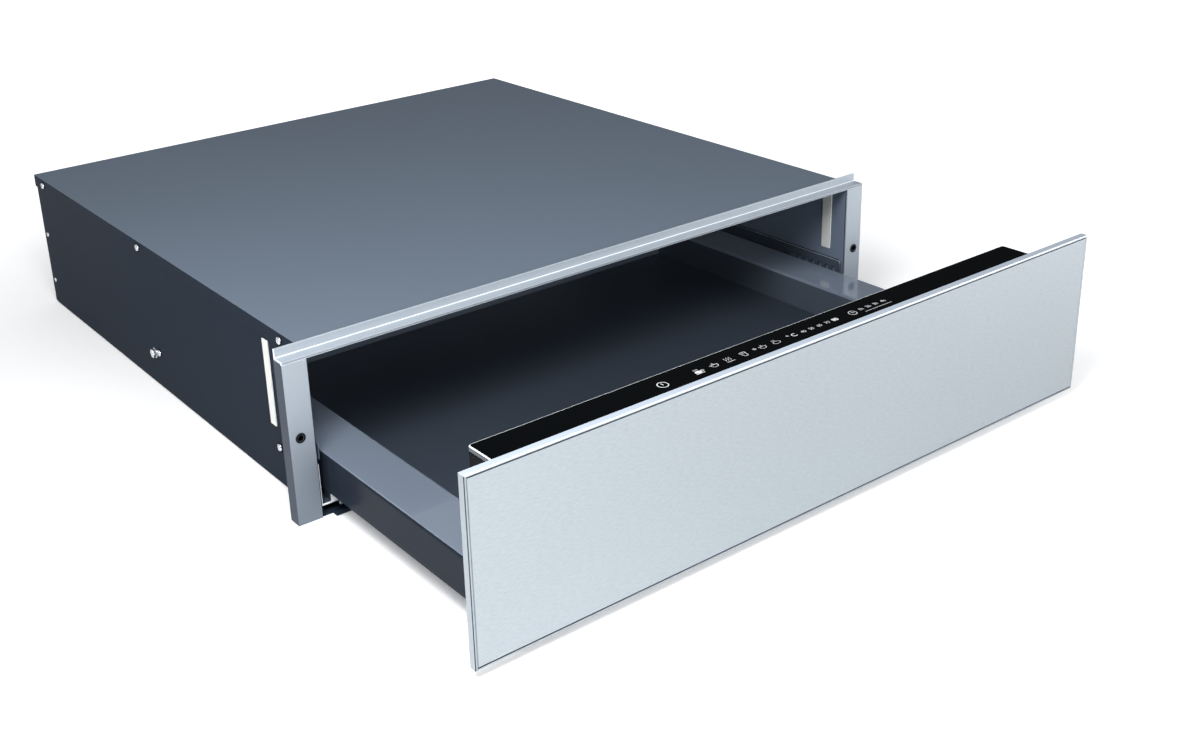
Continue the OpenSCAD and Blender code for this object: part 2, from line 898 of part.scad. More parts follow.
// Transformer, relays and capacitors on the power board
module board_components() {
    left = board_x + part_margin;
    low = board_z + part_margin;
    color(black_plastic) {
        block([left, board_y - coil_d, low], [left + coil_w, board_y, low + coil_w]);
        for (i = [0:2]) translate([left + coil_w + part_margin + i * (relay_w + part_margin / 2), 0, low])
            block([0, board_y - relay_d, 0], [relay_w, board_y, relay_h]);
        for (i = [0:2]) translate([left + can_r + i * (2 * can_r + part_margin), 0, low + coil_w + 2 * part_margin])
            bar_y(can_r, board_y - can_l, board_y);
    }
}

terminal_w = 54;
terminal_d = 22;
terminal_h = 26;
terminal_z = 62;
clamp_w = 12;
clamp_depth = 8;
clamps = 3;

module terminal_block() {
    left = -gland_x - terminal_w / 2;
    wall = (terminal_w - clamps * clamp_w) / (clamps + 1);
    color(white_plastic) difference() {
        block([left, back_y - sheet_t - terminal_d, terminal_z], [left + terminal_w, back_y - sheet_t, terminal_z + terminal_h]);
        for (i = [0:clamps - 1]) translate([left + wall + i * (clamp_w + wall), back_y - sheet_t - terminal_d, terminal_z - cut])
            block([0, wall, 0], [clamp_w, terminal_d - wall, clamp_depth + cut]);
    }
}

gland_flange_r = 10;

// Strain-relief bushing for the mains lead
module cord_gland() {
    color(black_plastic) translate([-gland_x, 0, gland_z]) difference() {
        union() {
            bar_y(gland_r, back_y - sheet_t - gland_in, back_y + gland_out);
            bar_y(gland_flange_r, back_y, back_y + gland_out);
        }
        bar_y(gland_bore_r, back_y - sheet_t - gland_in - cut, back_y + gland_out + cut);
    }
}

cutout_x = 92;
cutout_z = 104;
cutout_r = 8;
cutout_l = 9;
tab_w = 6;
tab_l = 8;
tab_t = 0.8;

module thermal_cutout() {
    start = part_y + sheet_t;
    color(black_plastic) translate([cutout_x, 0, cutout_z]) {
        bar_y(cutout_r + tab_w / 2, start, start + tab_t);
        bar_y(cutout_r, start, start + cutout_l);
        for (x = [-tab_w, 0]) translate([x, 0, -tab_w / 2])
            block([tab_t, start + cutout_l, 0], [2 * tab_t, start + cutout_l + tab_l, tab_w]);
    }
}

// Push latch: a body behind the partition, a plunger, and a striker on the tray
latch_body_w = 16;
latch_body_l = 34;
latch_bore_l = 28;
latch_run = 0.06;
plunger_rear_gap = 6;
tip_r = 4;
tip_l = 2;

module latch_body() {
    start = part_y + sheet_t;
    half = latch_body_w / 2;
    color(white_plastic) translate([-latch_x, 0, latch_z]) difference() {
        block([-half, start, -half], [half, start + latch_body_l, half]);
        bar_y(latch_r + latch_run, start - cut, start + latch_bore_l);
    }
}

module latch_plunger() {
    end = part_y + sheet_t + latch_bore_l - plunger_rear_gap;
    color(white_plastic) translate([-latch_x, 0, latch_z]) {
        bar_y(latch_r, latch_tip_y, end);
        bar_y(tip_r, latch_tip_y, latch_tip_y + tip_l);
    }
}

striker_w = 24;
striker_h = 18;

module latch_striker() {
    color(zinc) in_drawer() along_y(tray_depth, striker_t)
        translate([-latch_x - striker_w / 2, latch_z - striker_h / 2]) round_rect(striker_w, striker_h, striker_t);
}

// Drawer

// Flange profile of the tray: outer wall, flat flange and inner wall
module tray_channel() {
    height = tray_top - tray_z;
    difference() {
        round_top(flange_w, height, bend_r);
        translate([tray_t, -cut]) round_top(flange_w - 2 * tray_t, height - tray_t + cut, bend_r - tray_t);
    }
}

// Right side of the tray, with its return below, its front end and a filled rear corner
module drawer_side() {
    rear_wall = tray_depth - flange_w;
    along_y(0, tray_depth) translate([wall_in, tray_z]) tray_channel();
    block([tray_half - return_w, 0, tray_z], [tray_half, tray_depth, floor_top]);
    block([wall_out - tray_t / 2, 0, tray_z], [tray_half - tray_t / 2, tray_t, tray_top - tray_t / 2]);
    block([wall_in, rear_wall + bend_r, tray_top - bend_r], [wall_in + bend_r, tray_depth - bend_r, tray_top]);
}

module left_drawer_side() {
    color(tray_paint) in_drawer() left_side() drawer_side();
}

module right_drawer_side() {
    color(tray_paint) in_drawer() drawer_side();
}

module drawer_rear_side() {
    color(tray_paint) in_drawer() along_x(-wall_in, 2 * wall_in)
        translate([tray_depth - flange_w, tray_z]) tray_channel();
}

module drawer_floor() {
    color(tray_paint) in_drawer() {
        block([-wall_in, 0, tray_z], [wall_in, tray_depth - flange_w, floor_top]);
        block([-wall_in, 0, tray_z], [wall_in, tray_t, tray_top - tray_t / 2]);
    }
}

mat_gap = 0.4;
inner_front_d = 12;

module drawer_mat() {
    width = 2 * (wall_in - mat_gap);
    length = tray_depth - flange_w - inner_front_d - 2 * mat_gap;
    color(mat_black) in_drawer() translate([-width / 2, inner_front_d + mat_gap, floor_top])
        linear_extrude(mat_t) round_rect(width, length, bend_r);
}

// Folded inner wall between tray floor and control box
module inner_front() {
    half = wall_in - mat_gap;
    high = glass_z - glass_t - box_h;
    color(tray_paint) in_drawer() difference() {
        block([-half, tray_t, floor_top], [half, inner_front_d, high]);
        block([-half + tray_t, -cut, floor_top + tray_t], [half - tray_t, inner_front_d - tray_t, high - tray_t]);
    }
}

// Folded steel front: round-edged skin with a return on each edge, open at the back
module front_panel() {
    depth = panel_t + edge_r;
    color(steel) in_drawer() difference() {
        intersection() {
            along_x(-panel_w / 2, panel_w) translate([-panel_t, panel_z]) round_rect(depth, panel_h, edge_r);
            translate([-panel_w / 2, -panel_t, panel_z]) linear_extrude(panel_h) round_rect(panel_w, depth, edge_r);
            block([-panel_w / 2, -panel_t, panel_z], [panel_w / 2, 0, panel_z + panel_h]);
        }
        block([-panel_w / 2 + skin_t, -panel_t + skin_t, panel_z + skin_t],
            [panel_w / 2 - skin_t, cut, panel_z + panel_h - skin_t]);
    }
}

module panel_inside(front, back) {
    margin = skin_t + seat_gap;
    block([-panel_w / 2 + margin, front, panel_z + margin], [panel_w / 2 - margin, back, panel_z + panel_h - margin]);
}

module panel_core() {
    color(mat_black) in_drawer() panel_inside(-panel_t + skin_t, -base_t);
}

module panel_back_plate() {
    color(zinc) in_drawer() panel_inside(-base_t, 0);
}

buffer_r = 5;
buffer_t = 1.2;
buffer_low = 24;
buffer_high = 112;

module panel_buffers() {
    color(black_plastic) in_drawer() both_sides() for (z = [buffer_low, buffer_high])
        translate([frame_half - post_w / 2, 0, z]) bar_y(buffer_r, 0, buffer_t);
}

panel_screw_x = 16;

module panel_screws() {
    color(zinc) in_drawer() both_sides() translate([tray_half - panel_screw_x, tray_t, slide_z])
        rotate([0, 0, 90]) {
            bar_x(screw_head_r, 0, screw_head_h / 2);
            translate([screw_head_h / 2, 0, 0]) rotate([0, 90, 0])
                cylinder(r1 = screw_head_r, r2 = screw_head_r / 2, h = screw_head_h / 2);
        }
}

ledge_w = 3;
board_drop = 4;
touch_board_t = 1.6;
board_gap = 0.5;

module control_box() {
    low = glass_z - glass_t - box_h;
    high = glass_z - glass_t;
    inside = box_w / 2 - box_wall;
    ledge_z = high - board_drop - touch_board_t;
    color(black_plastic) in_drawer() {
        difference() {
            translate([-box_w / 2, 0, low]) linear_extrude(box_h)
                round_back(box_w, box_depth, glass_r);
            translate([-inside, box_wall, low + box_wall]) linear_extrude(box_h)
                round_back(2 * inside, box_depth - 2 * box_wall, glass_r - box_wall);
        }
        for (y = [box_wall / 2, box_depth - box_wall - ledge_w])
            block([-inside, y, ledge_z - box_wall], [inside, y + box_wall / 2 + ledge_w, ledge_z]);
    }
}

// A rectangle whose two back corners are round
module round_back(width, depth, radius) {
    square([width, depth - radius]);
    translate([radius, 0]) square([width - 2 * radius, depth]);
    for (x = [radius, width - radius])
        translate([x, depth - radius]) circle(radius);
}

module control_glass() {
    color(black_plastic) in_drawer() translate([-box_w / 2, seat_gap, glass_z - glass_t])
        linear_extrude(glass_t) round_back(box_w, box_depth, glass_r);
}

module touch_board() {
    half = box_w / 2 - box_wall - board_gap;
    low = glass_z - glass_t - board_drop - touch_board_t;
    color(board_green) in_drawer() block([-half, box_wall + board_gap, low],
        [half, box_depth - box_wall - board_gap, low + touch_board_t]);
}

top_cover();
left_side_panel();
right_side_panel();
base_panel();
rear_panel();
frame_top_rail();
left_frame_post();
right_frame_post();
frame_grommets();
outer_side_strips();
inner_glide_strips();
left_guide_rail();
right_guide_rail();
cover_screws();
slide_bolts();
rear_edge_screws();
left_slide_brackets();
right_slide_brackets();
left_cabinet_rail();
right_cabinet_rail();
rear_partition();
heater_ring();
motor_bracket();
fan_motor();
fan_wheel();
fan_shaft();
power_board();
board_components();
board_spacers();
terminal_block();
cord_gland();
thermal_cutout();
latch_body();
latch_plunger();
latch_striker();
left_middle_rail();
right_middle_rail();
left_outer_cage();
right_outer_cage();
left_inner_cage();
right_inner_cage();
left_drawer_rail();
right_drawer_rail();
drawer_floor();
left_drawer_side();
right_drawer_side();
drawer_rear_side();
drawer_mat();
inner_front();
front_panel();
panel_core();
panel_back_plate();
panel_buffers();
panel_screws();
control_box();
control_glass();
touch_board();
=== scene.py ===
# %% [markdown]
# # A built-in warming drawer
#
# A low steel housing stands in a kitchen niche. A light frame closes its front, and a tray on ball
# slides comes out through it behind a stainless front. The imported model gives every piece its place
# and its motion, and this script gives them their finish: small rounds on the sheet edges, screws
# with a cross recess, a glass control strip with printed symbols, and a material for each surface.

# %% Load the fixed frame
import json
import math

import bmesh
import bpy
from mathutils import Matrix, Vector


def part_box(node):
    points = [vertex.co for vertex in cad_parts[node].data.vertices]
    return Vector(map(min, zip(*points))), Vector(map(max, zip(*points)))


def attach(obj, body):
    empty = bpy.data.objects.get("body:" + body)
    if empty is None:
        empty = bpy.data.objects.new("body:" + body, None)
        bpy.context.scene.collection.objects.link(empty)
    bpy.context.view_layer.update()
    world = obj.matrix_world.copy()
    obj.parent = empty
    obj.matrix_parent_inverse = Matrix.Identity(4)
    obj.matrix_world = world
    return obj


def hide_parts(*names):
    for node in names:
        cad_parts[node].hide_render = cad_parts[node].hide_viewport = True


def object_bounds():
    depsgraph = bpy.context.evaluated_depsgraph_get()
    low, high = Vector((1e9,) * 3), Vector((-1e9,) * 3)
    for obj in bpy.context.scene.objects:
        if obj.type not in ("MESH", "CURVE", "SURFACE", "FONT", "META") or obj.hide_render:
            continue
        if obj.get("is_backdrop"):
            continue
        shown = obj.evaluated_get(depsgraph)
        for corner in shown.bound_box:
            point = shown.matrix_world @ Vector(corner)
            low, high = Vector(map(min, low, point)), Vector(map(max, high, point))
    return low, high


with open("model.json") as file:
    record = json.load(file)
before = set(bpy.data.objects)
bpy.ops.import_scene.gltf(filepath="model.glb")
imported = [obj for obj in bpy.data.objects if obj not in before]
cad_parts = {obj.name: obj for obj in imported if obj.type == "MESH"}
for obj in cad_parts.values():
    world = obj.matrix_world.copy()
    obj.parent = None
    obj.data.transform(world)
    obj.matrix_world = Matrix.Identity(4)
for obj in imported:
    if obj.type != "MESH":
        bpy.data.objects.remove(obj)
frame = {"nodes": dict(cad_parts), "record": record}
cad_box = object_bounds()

MM = 0.001
scene = bpy.context.scene
nodes = frame["nodes"]
record = frame["record"]
slot_of = {part["node"]: part["material_slot"] for part in record["subparts"]}
body_of = {node: body for body, members in record["behaviour"]["bodies"].items() for node in members}

# %% [markdown]
# ## The camera
#
# The photograph is taken from the front left and a little above. A camera can be aimed with a
# target object or placed by its angles. Angles are used here, because the heading, the height and
# the small roll were each measured, and a lens shift puts the drawer where the picture has it.

# %% Place the camera
FRAME_WIDTH = 1200  # pixels
FOCAL_LENGTH = 1457.416  # pixels
SHIFT_RIGHT, SHIFT_UP = 60, -85  # pixels
SENSOR_WIDTH = 36  # millimetres
CAMERA_PLACE = (-686.661, -847.841, 544.279)  # millimetres
VIEW_DEPTH = 50  # metres
heading, height, roll = (math.radians(angle) for angle in (-35.949, 21.765, -2.274))

backwards = Vector((math.sin(heading) * math.cos(height),
                    -math.cos(heading) * math.cos(height),
                    math.sin(height)))
level = Vector((0, 0, 1)).cross(backwards).normalized()
upright = backwards.cross(level)
right = math.cos(roll) * level + math.sin(roll) * upright
up = -math.sin(roll) * level + math.cos(roll) * upright

bpy.ops.object.camera_add()
camera = bpy.context.object
camera.name = "photo_camera"
turn = Matrix((right, up, backwards)).transposed().to_4x4()
camera.matrix_world = Matrix.Translation(Vector(CAMERA_PLACE) * MM) @ turn
camera.data.sensor_width = SENSOR_WIDTH
camera.data.lens = FOCAL_LENGTH * SENSOR_WIDTH / FRAME_WIDTH
camera.data.shift_x = SHIFT_RIGHT / FRAME_WIDTH
camera.data.shift_y = SHIFT_UP / FRAME_WIDTH
camera.data.clip_end = VIEW_DEPTH
bpy.context.scene.camera = camera
print("camera at", [round(v, 3) for v in camera.location], "lens", round(camera.data.lens, 1), "mm")

# %% [markdown]
# ## The lamps
#
# Product pictures of steel are lit by soft lamps, because metal shows what it reflects. A lamp on
# the left above the drawer makes the cover lighter towards its front. A wide lamp well in front
# lights the stainless front, and one on the right lifts its far end. The left side stays in shade.

# %% Light the studio
scene.view_settings.view_transform = "Standard"
scene.view_settings.look = "None"


def soft_lamp(name, place, aim, width, depth, watts):
    """A rectangular area lamp at place that points at aim, all in metres."""
    bpy.ops.object.light_add(type="AREA", location=place)
    lamp = bpy.context.object
    lamp.name = name
    lamp.data.shape = "RECTANGLE"
    lamp.data.size, lamp.data.size_y = width, depth
    lamp.data.energy = watts
    lamp.rotation_euler = (Vector(aim) - Vector(place)).to_track_quat("-Z", "Y").to_euler()


soft_lamp("key_lamp", (-0.55, -0.35, 0.75), (-0.25, -0.02, 0.1), 0.4, 0.4, watts=8.3)
soft_lamp("front_lamp", (-0.3, -2.2, 0.9), (0.1, 0.1, 0.05), 1.2, 0.6, watts=22)
soft_lamp("right_lamp", (1.5, -1.3, 0.6), (0.3, -0.25, 0.08), 0.8, 0.8, watts=9.5)

# %% [markdown]
# ## Writing nodes as sums
#
# A procedural finish is mostly arithmetic on noise. Wiring that by hand is slow to read, so a small
# class stands for one socket and turns plus, minus and times into Math nodes. Any other node comes
# from one method that takes its type, its settings and what its sockets receive.

# %% A class for sockets and one for node trees


class Field:
    """One output socket. Sums, differences and products of it add Math nodes."""

    def __init__(self, wiring, socket):
        self.wiring = wiring
        self.socket = socket

    def maths(self, operation, first, second):
        return self.wiring.node("Math", {"operation": operation}, {0: first, 1: second})

    def __add__(self, other):
        return self.maths("ADD", self, other)

    def __radd__(self, other):
        return self.maths("ADD", other, self)

    def __sub__(self, other):
        return self.maths("SUBTRACT", self, other)

    def __rsub__(self, other):
        return self.maths("SUBTRACT", other, self)

    def __mul__(self, other):
        return self.maths("MULTIPLY", self, other)

    def __rmul__(self, other):
        return self.maths("MULTIPLY", other, self)


class Wiring:
    """A node tree, in which each node is made with its settings and its inputs."""

    def __init__(self, tree):
        self.tree = tree

    def node(self, kind, settings=None, inputs=None, output=0):
        """Adds a node and returns one output of it. The stops of a ramp are one of its settings."""
        made = self.tree.nodes.new("ShaderNode" + kind)
        for setting, value in (settings or {}).items():
            if setting == "stops":
                self.set_stops(made.color_ramp.elements, value)
            else:
                setattr(made, setting, value)
        for socket, value in (inputs or {}).items():
            self.feed(made.inputs[socket], value)
        return Field(self, made.outputs[output])

    def set_stops(self, ramp, stops):
        """Gives a ramp its stops, each a place from 0 to 1 and a colour."""
        while len(ramp) < len(stops):
            ramp.new(1)
        for stop, (place, shade) in zip(ramp, stops):
            stop.position = place
            stop.color = (*shade, 1)

    def feed(self, socket, value):
        """Links a field to a socket, or writes a plain value on it."""
        if isinstance(value, Field):
            self.tree.links.new(value.socket, socket)
        else:
            socket.default_value = value


print("a sum, difference or product of fields now adds Math nodes")

# %% [markdown]
# ## The air round the lamps
#
# Metal and glass also mirror what stands between the lamps. A world of one grey would make them
# look flat, so a ramp over the height of the view gives bands: light at and below the horizon, dark
# a little above it, and mid grey overhead.

# %% Paint the air
AIR_STRENGTH = 0.95
AIR_TINT_SHARES = (0.96, 0.98, 1.0)
AIR_BANDS = ((0.0, 0.85), (0.09, 0.8), (0.17, 0.2), (0.32, 0.1), (0.42, 0.22), (0.65, 0.4), (1.0, 0.5))

world = bpy.data.worlds.new("studio_air")
scene.world = world
world.use_nodes = True
air = Wiring(world.node_tree)
direction = air.node("TexCoord", output="Generated")
rise = air.node("SeparateXYZ", inputs={0: direction}, output="Z")
air_stops = [(place, tuple(grey * share for share in AIR_TINT_SHARES)) for place, grey in AIR_BANDS]
bands = air.node("ValToRGB", {"stops": air_stops}, {"Fac": rise}, output="Color")
background = world.node_tree.nodes["Background"]
air.feed(background.inputs["Color"], bands)
air.feed(background.inputs["Strength"], AIR_STRENGTH)
print("bands in the air:", len(air_stops))

# %% [markdown]
# ## A material in a few lines
#
# A finish is a node tree with one Principled shader. What is the same all over a surface is written
# on the shader's own sockets, and what varies over it is fed by nodes that read the place in metres,
# so that a pattern keeps its real size on every piece.

# %% A class for materials
MIX_LOW, MIX_HIGH, MIX_COLOUR = 6, 7, 2  # the numbers of a Mix node's colour sockets


class Finish(Wiring):
    """A material with one Principled shader and the nodes that feed it."""

    def __init__(self, name, **constants):
        self.material = bpy.data.materials.new(name)
        self.material.use_nodes = True
        super().__init__(self.material.node_tree)
        self.tree.nodes.clear()
        self.shader = self.tree.nodes.new("ShaderNodeBsdfPrincipled")
        output = self.tree.nodes.new("ShaderNodeOutputMaterial")
        self.tree.links.new(self.shader.outputs[0], output.inputs["Surface"])
        self.set(**constants)

    def set(self, **values):
        """Feeds sockets of the shader, such as base_color, with fields or plain values."""
        for name, value in values.items():
            socket = name.replace("_", " ").title().replace("Ior", "IOR")
            self.feed(self.shader.inputs[socket], value)

    def place(self, stretch=(1, 1, 1), shift=(0, 0, 0)):
        """Object coordinates in metres, stretched along each axis and then shifted."""
        here = self.node("TexCoord", output="Object")
        return self.node("Mapping", inputs={"Vector": here, "Scale": stretch, "Location": shift})

    def noise(self, scale, stretch=(1, 1, 1), detail=3, roughness=0.5):
        return self.node("TexNoise", inputs={"Vector": self.place(stretch), "Scale": scale, "Detail": detail,
                                             "Roughness": roughness}, output="Fac")

    def bump(self, height, strength, distance):
        """Turns a height field into a Normal. distance is in metres."""
        return self.node("Bump", inputs={"Strength": strength, "Distance": distance, "Height": height},
                         output="Normal")

    def tint(self, low, high, factor):
        """A colour between low and high by factor. Each end is a colour or a field."""
        low, high = (end if isinstance(end, Field) else (*end, 1) for end in (low, high))
        return self.node("Mix", {"data_type": "RGBA"}, {"Factor": factor, MIX_LOW: low, MIX_HIGH: high},
                         output=MIX_COLOUR)


def colour(red, green, blue):
    """A display colour from 0 to 255, as the linear values of the sRGB curve that a shader needs."""
    levels = [level / 255 for level in (red, green, blue)]
    return tuple(c / 12.92 if c <= 0.04045 else ((c + 0.055) / 1.055) ** 2.4 for c in levels)


def shaded(shade, factor):
    """The same colour, darker or lighter by a factor."""
    return tuple(min(1, c * factor) for c in shade)


print("helpers ready; mid grey in linear light is", [round(c, 3) for c in colour(128, 128, 128)])

# %% [markdown]
# ## Painted sheet
#
# Powder paint on an appliance isn't flat: it has a faint orange peel about two millimetres across,
# and its gloss drifts a little over the sheet. A fine noise feeds the bump, and a broad one moves
# the colour and the roughness by a few hundredths, which is about what the eye accepts as real paint.

# %% Paints for whole pieces
DRIFT_SCALE = 5  # waves in a metre
PEEL_SCALE = 420  # bumps in a metre
PEEL_DEPTH = 0.08 * MM
GLOSS_DRIFT = 0.08
COAT_GLOSS = 0.04
PAINTED_SHADE_HEIGHT = 0.125  # metres over the floor


def paint(name, shade, drift, gloss, peel=0.12, metallic=0.0, coat=0.0, specular=0.5, low=None):
    """Paint with an orange peel. Where low is given, the colour turns to it towards the floor, as painted
    shade.
    """
    finish = Finish(name, metallic=metallic, coat_weight=coat, coat_roughness=COAT_GLOSS,
                    specular_ior_level=specular)
    broad = finish.noise(DRIFT_SCALE, detail=2)
    fine = finish.noise(PEEL_SCALE, detail=2)
    tone = finish.tint(shaded(shade, 1 - drift), shaded(shade, 1 + drift), broad)
    if low:
        height = finish.node("SeparateXYZ", inputs={0: finish.place()}, output="Z")
        rise = finish.node("MapRange", {"interpolation_type": "SMOOTHSTEP"},
                           {"Value": height, "From Min": 0.0, "From Max": PAINTED_SHADE_HEIGHT})
        tone = finish.tint(low, tone, rise)
    finish.set(base_color=tone, roughness=gloss + GLOSS_DRIFT * (broad - 0.5),
               normal=finish.bump(fine, peel, PEEL_DEPTH))
    return finish.material


materials = {
    "housing_paint": paint("slate_paint", colour(33, 42, 54), drift=0.05, gloss=0.5, specular=0.02),
    # The cover gets a much lighter colour than the housing paint that it shares: painted light on the top.
    "cover_paint": paint("cover_slate_painted_light", colour(102, 114, 128), drift=0.05, gloss=0.42, specular=0.06),
    # The frame turns darker towards the floor: painted shade on the lower parts of the posts.
    "frame_satin": paint("silver_satin_with_painted_shade", colour(166, 175, 184), drift=0.03, gloss=0.36, peel=0.06,
                         metallic=0.2, low=colour(106, 116, 128)),
    "tray_paint": paint("grey_gloss_paint", colour(116, 127, 142), drift=0.04, gloss=0.16, peel=0.03,
                        coat=0.6),
}
print("paints:", ", ".join(finish.name for finish in materials.values()))

# %% [markdown]
# ## Paints for single faces
#
# These paints stand in for light and shade on single faces: the darker copies are painted shade, the
# lighter ones painted light, and the pale and bright ones painted highlights. They are made the same
# way and wait for the faces that are picked out further down.

# %% Paints for edges and sides
# Darker paints below are painted shade, lighter ones painted light, and the pale and bright edge paints
# painted highlights.
painted_shade_outer = paint("painted_shade_outer_paint", colour(33, 40, 50), drift=0.05, gloss=0.2, peel=0.03, specular=0.03)
painted_light_inner = paint("painted_light_inner_walls", colour(108, 121, 138), drift=0.05, gloss=0.4, specular=0.1)
painted_light_guide = paint("painted_light_guide_rail", colour(66, 75, 88), drift=0.05, gloss=0.3, specular=0.2)
painted_highlight_pale = paint("painted_highlight_pale_paint", colour(176, 187, 200), drift=0.03, gloss=0.3, specular=0.5)
painted_highlight_bright = paint("painted_highlight_bright_paint", colour(236, 241, 245), drift=0.02, gloss=0.3, specular=0.5)
painted_shade_tray = paint("painted_shade_tray_walls", colour(76, 85, 97), drift=0.05, gloss=0.2, peel=0.03, specular=0.2)
painted_shade_rail = paint("painted_shade_rail_face", colour(136, 144, 154), drift=0.03, gloss=0.36, specular=0.2)
painted_shade_grey = paint("painted_shade_grey_paint", colour(62, 70, 82), drift=0.04, gloss=0.4, specular=0.08)
face_paints = (painted_shade_outer, painted_light_inner, painted_light_guide, painted_highlight_pale, painted_highlight_bright, painted_shade_tray, painted_shade_rail, painted_shade_grey)
print("paints for single faces:", len(face_paints))

# %% [markdown]
# ## Stainless steel, zinc and plain steel
#
# Brushed stainless has hair-thin scratches along its length. Noise that is five times as long along
# X as across it gives such lines at the right scale. They move the colour, the roughness and the
# bump, and a little anisotropy smears the reflection. Zinc plate has a soft, cloudy sheen instead.

# %% Metals
HAIR_STRETCH = (200, 1000, 1000)  # waves in a metre along each axis
HAIR_CONTRAST = 0.25
HAIR_SHARE = 0.85  # of the colour's change, and the rest is a slow drift
HAIR_GLOSS = 0.14
HAIR_DEPTH = 0.04 * MM
CLOUD_SCALE = 160  # clouds in a metre
CLOUD_SHADE = 0.82
CLOUD_GLOSS = 0.12
CLOUD_DEPTH = 0.05 * MM


def brushed(name, shade, gloss):
    """Stainless steel with fine scratches along X."""
    finish = Finish(name, metallic=1.0, anisotropic=0.4)
    hair = finish.noise(1, HAIR_STRETCH, detail=4, roughness=0.6)
    broad = finish.noise(3, detail=2)
    tone = HAIR_SHARE * hair + (1 - HAIR_SHARE) * broad
    dark, light = shaded(shade, 1 - HAIR_CONTRAST), shaded(shade, 1 + HAIR_CONTRAST)
    finish.set(base_color=finish.tint(dark, light, tone), roughness=gloss + HAIR_GLOSS * (hair - 0.5),
               normal=finish.bump(hair, 0.12, HAIR_DEPTH))
    return finish.material


def plated(name, shade, gloss, metallic=1.0):
    """Plated or plain metal with a cloudy sheen."""
    finish = Finish(name, metallic=metallic)
    cloud = finish.noise(CLOUD_SCALE, detail=3)
    finish.set(base_color=finish.tint(shaded(shade, CLOUD_SHADE), shade, cloud),
               roughness=gloss + CLOUD_GLOSS * (cloud - 0.5), normal=finish.bump(cloud, 0.1, CLOUD_DEPTH))
    return finish.material


metals = {
    "stainless": brushed("brushed_stainless", colour(164, 171, 176), gloss=0.36),
    "zinc": plated("zinc_plate", colour(222, 227, 233), gloss=0.34, metallic=0.7),
    "element_steel": plated("plain_steel", colour(178, 180, 184), gloss=0.36),
    "fan_metal": plated("mill_aluminium", colour(214, 216, 218), gloss=0.34),
}
screw_zinc = plated("screw_zinc", colour(228, 232, 237), gloss=0.16, metallic=0.85)
materials.update(metals)
print("metals:", ", ".join(finish.name for finish in metals.values()), "and", screw_zinc.name)

# %% [markdown]
# ## Plastics, rubber, board and glass
#
# Moulded plastic has a fine eroded texture, so its bump is smaller and denser than paint's. The
# control strip is clear glass that is printed black from behind: its top face is nearly black and
# mirror smooth, and its ground side faces look grey. The rim between them is so narrow that its
# glint would be lost, so the glint is painted on it: a near-white colour with a faint glow.

# %% Plastics and glass
GRAIN_DEPTH = 0.03 * MM
GRAIN_GLOSS = 0.1
FLOW_SCALE, FLOW_SHADE = 20, 0.9  # flow marks in a metre, and how dark they are
SMEAR_SCALE, SMEAR_SHADE = 9, 0.8  # smears in a metre, and how dark they are
GLASS_GLOSS = 0.03
GLOW_COLOUR = (0.85, 1, 1, 1)


def moulded(name, shade, gloss, grain=1400, strength=0.15, specular=0.5):
    """Moulded plastic or rubber. grain is the number of its bumps in a metre."""
    finish = Finish(name, specular_ior_level=specular)
    fine = finish.noise(grain, detail=2)
    flow = finish.noise(FLOW_SCALE, detail=1)
    finish.set(base_color=finish.tint(shaded(shade, FLOW_SHADE), shade, flow),
               roughness=gloss + GRAIN_GLOSS * (fine - 0.5), normal=finish.bump(fine, strength, GRAIN_DEPTH))
    return finish.material


def printed_glass(name, shade, specular, glow=0.0):
    """Smooth glass over a print, with the faint smears of a wiped surface."""
    finish = Finish(name, specular_ior_level=specular, emission_color=GLOW_COLOUR, emission_strength=glow)
    smear = finish.noise(SMEAR_SCALE, detail=3)
    finish.set(base_color=finish.tint(shaded(shade, SMEAR_SHADE), shade, smear),
               roughness=GLASS_GLOSS + GLASS_GLOSS * smear)
    return finish.material


materials["black_plastic"] = moulded("black_moulding", colour(18, 21, 25), gloss=0.5, specular=0.03)
materials["black_rubber"] = moulded("black_rubber", colour(20, 21, 23), gloss=0.6)
materials["panel_filler"] = moulded("grey_filler", colour(70, 72, 75), gloss=0.6)
materials["white_plastic"] = moulded("white_moulding", colour(232, 233, 230), gloss=0.35)
materials["circuit_board"] = moulded("board_lacquer", colour(34, 92, 60), gloss=0.35)
materials["floor_mat"] = moulded("black_mat", colour(55, 63, 74), gloss=0.42, grain=900, strength=0.25)
materials["control_glass"] = printed_glass("black_printed_glass", colour(4, 6, 8), specular=0.02)
glass_edge = printed_glass("ground_glass_edge", colour(58, 70, 80), specular=0.5)
# The rim's near-white colour and glow are a painted glint.
painted_glint_rim = printed_glass("painted_glint_glass", colour(250, 253, 255), specular=0.7, glow=0.3)
# A painted highlight for the grommets' edges, and near black as painted shadow in bores and under screw
# heads.
painted_highlight_grommet = moulded("grommet_painted_highlight", colour(72, 78, 86), gloss=0.4)
white_print = moulded("white_print", colour(225, 228, 230), gloss=0.5)
painted_shadow_black = moulded("painted_shadow_black", colour(3, 3, 4), gloss=0.7, specular=0.0)
print("finishes for the record's slots:", len(materials))

# %% [markdown]
# ## A finish for every node
#
# The record gives each node of the imported model a material slot. The mesh of a node is left alone
# and only its material is exchanged, so every node gets the finish of its slot here. A copy that
# stands for a node later on is made from it, and so has that finish from the start.

# %% Give every node the finish of its slot
for name, piece in nodes.items():
    piece.data.materials.clear()
    piece.data.materials.append(materials[slot_of[name]])
print("nodes with a finish:", len(nodes))

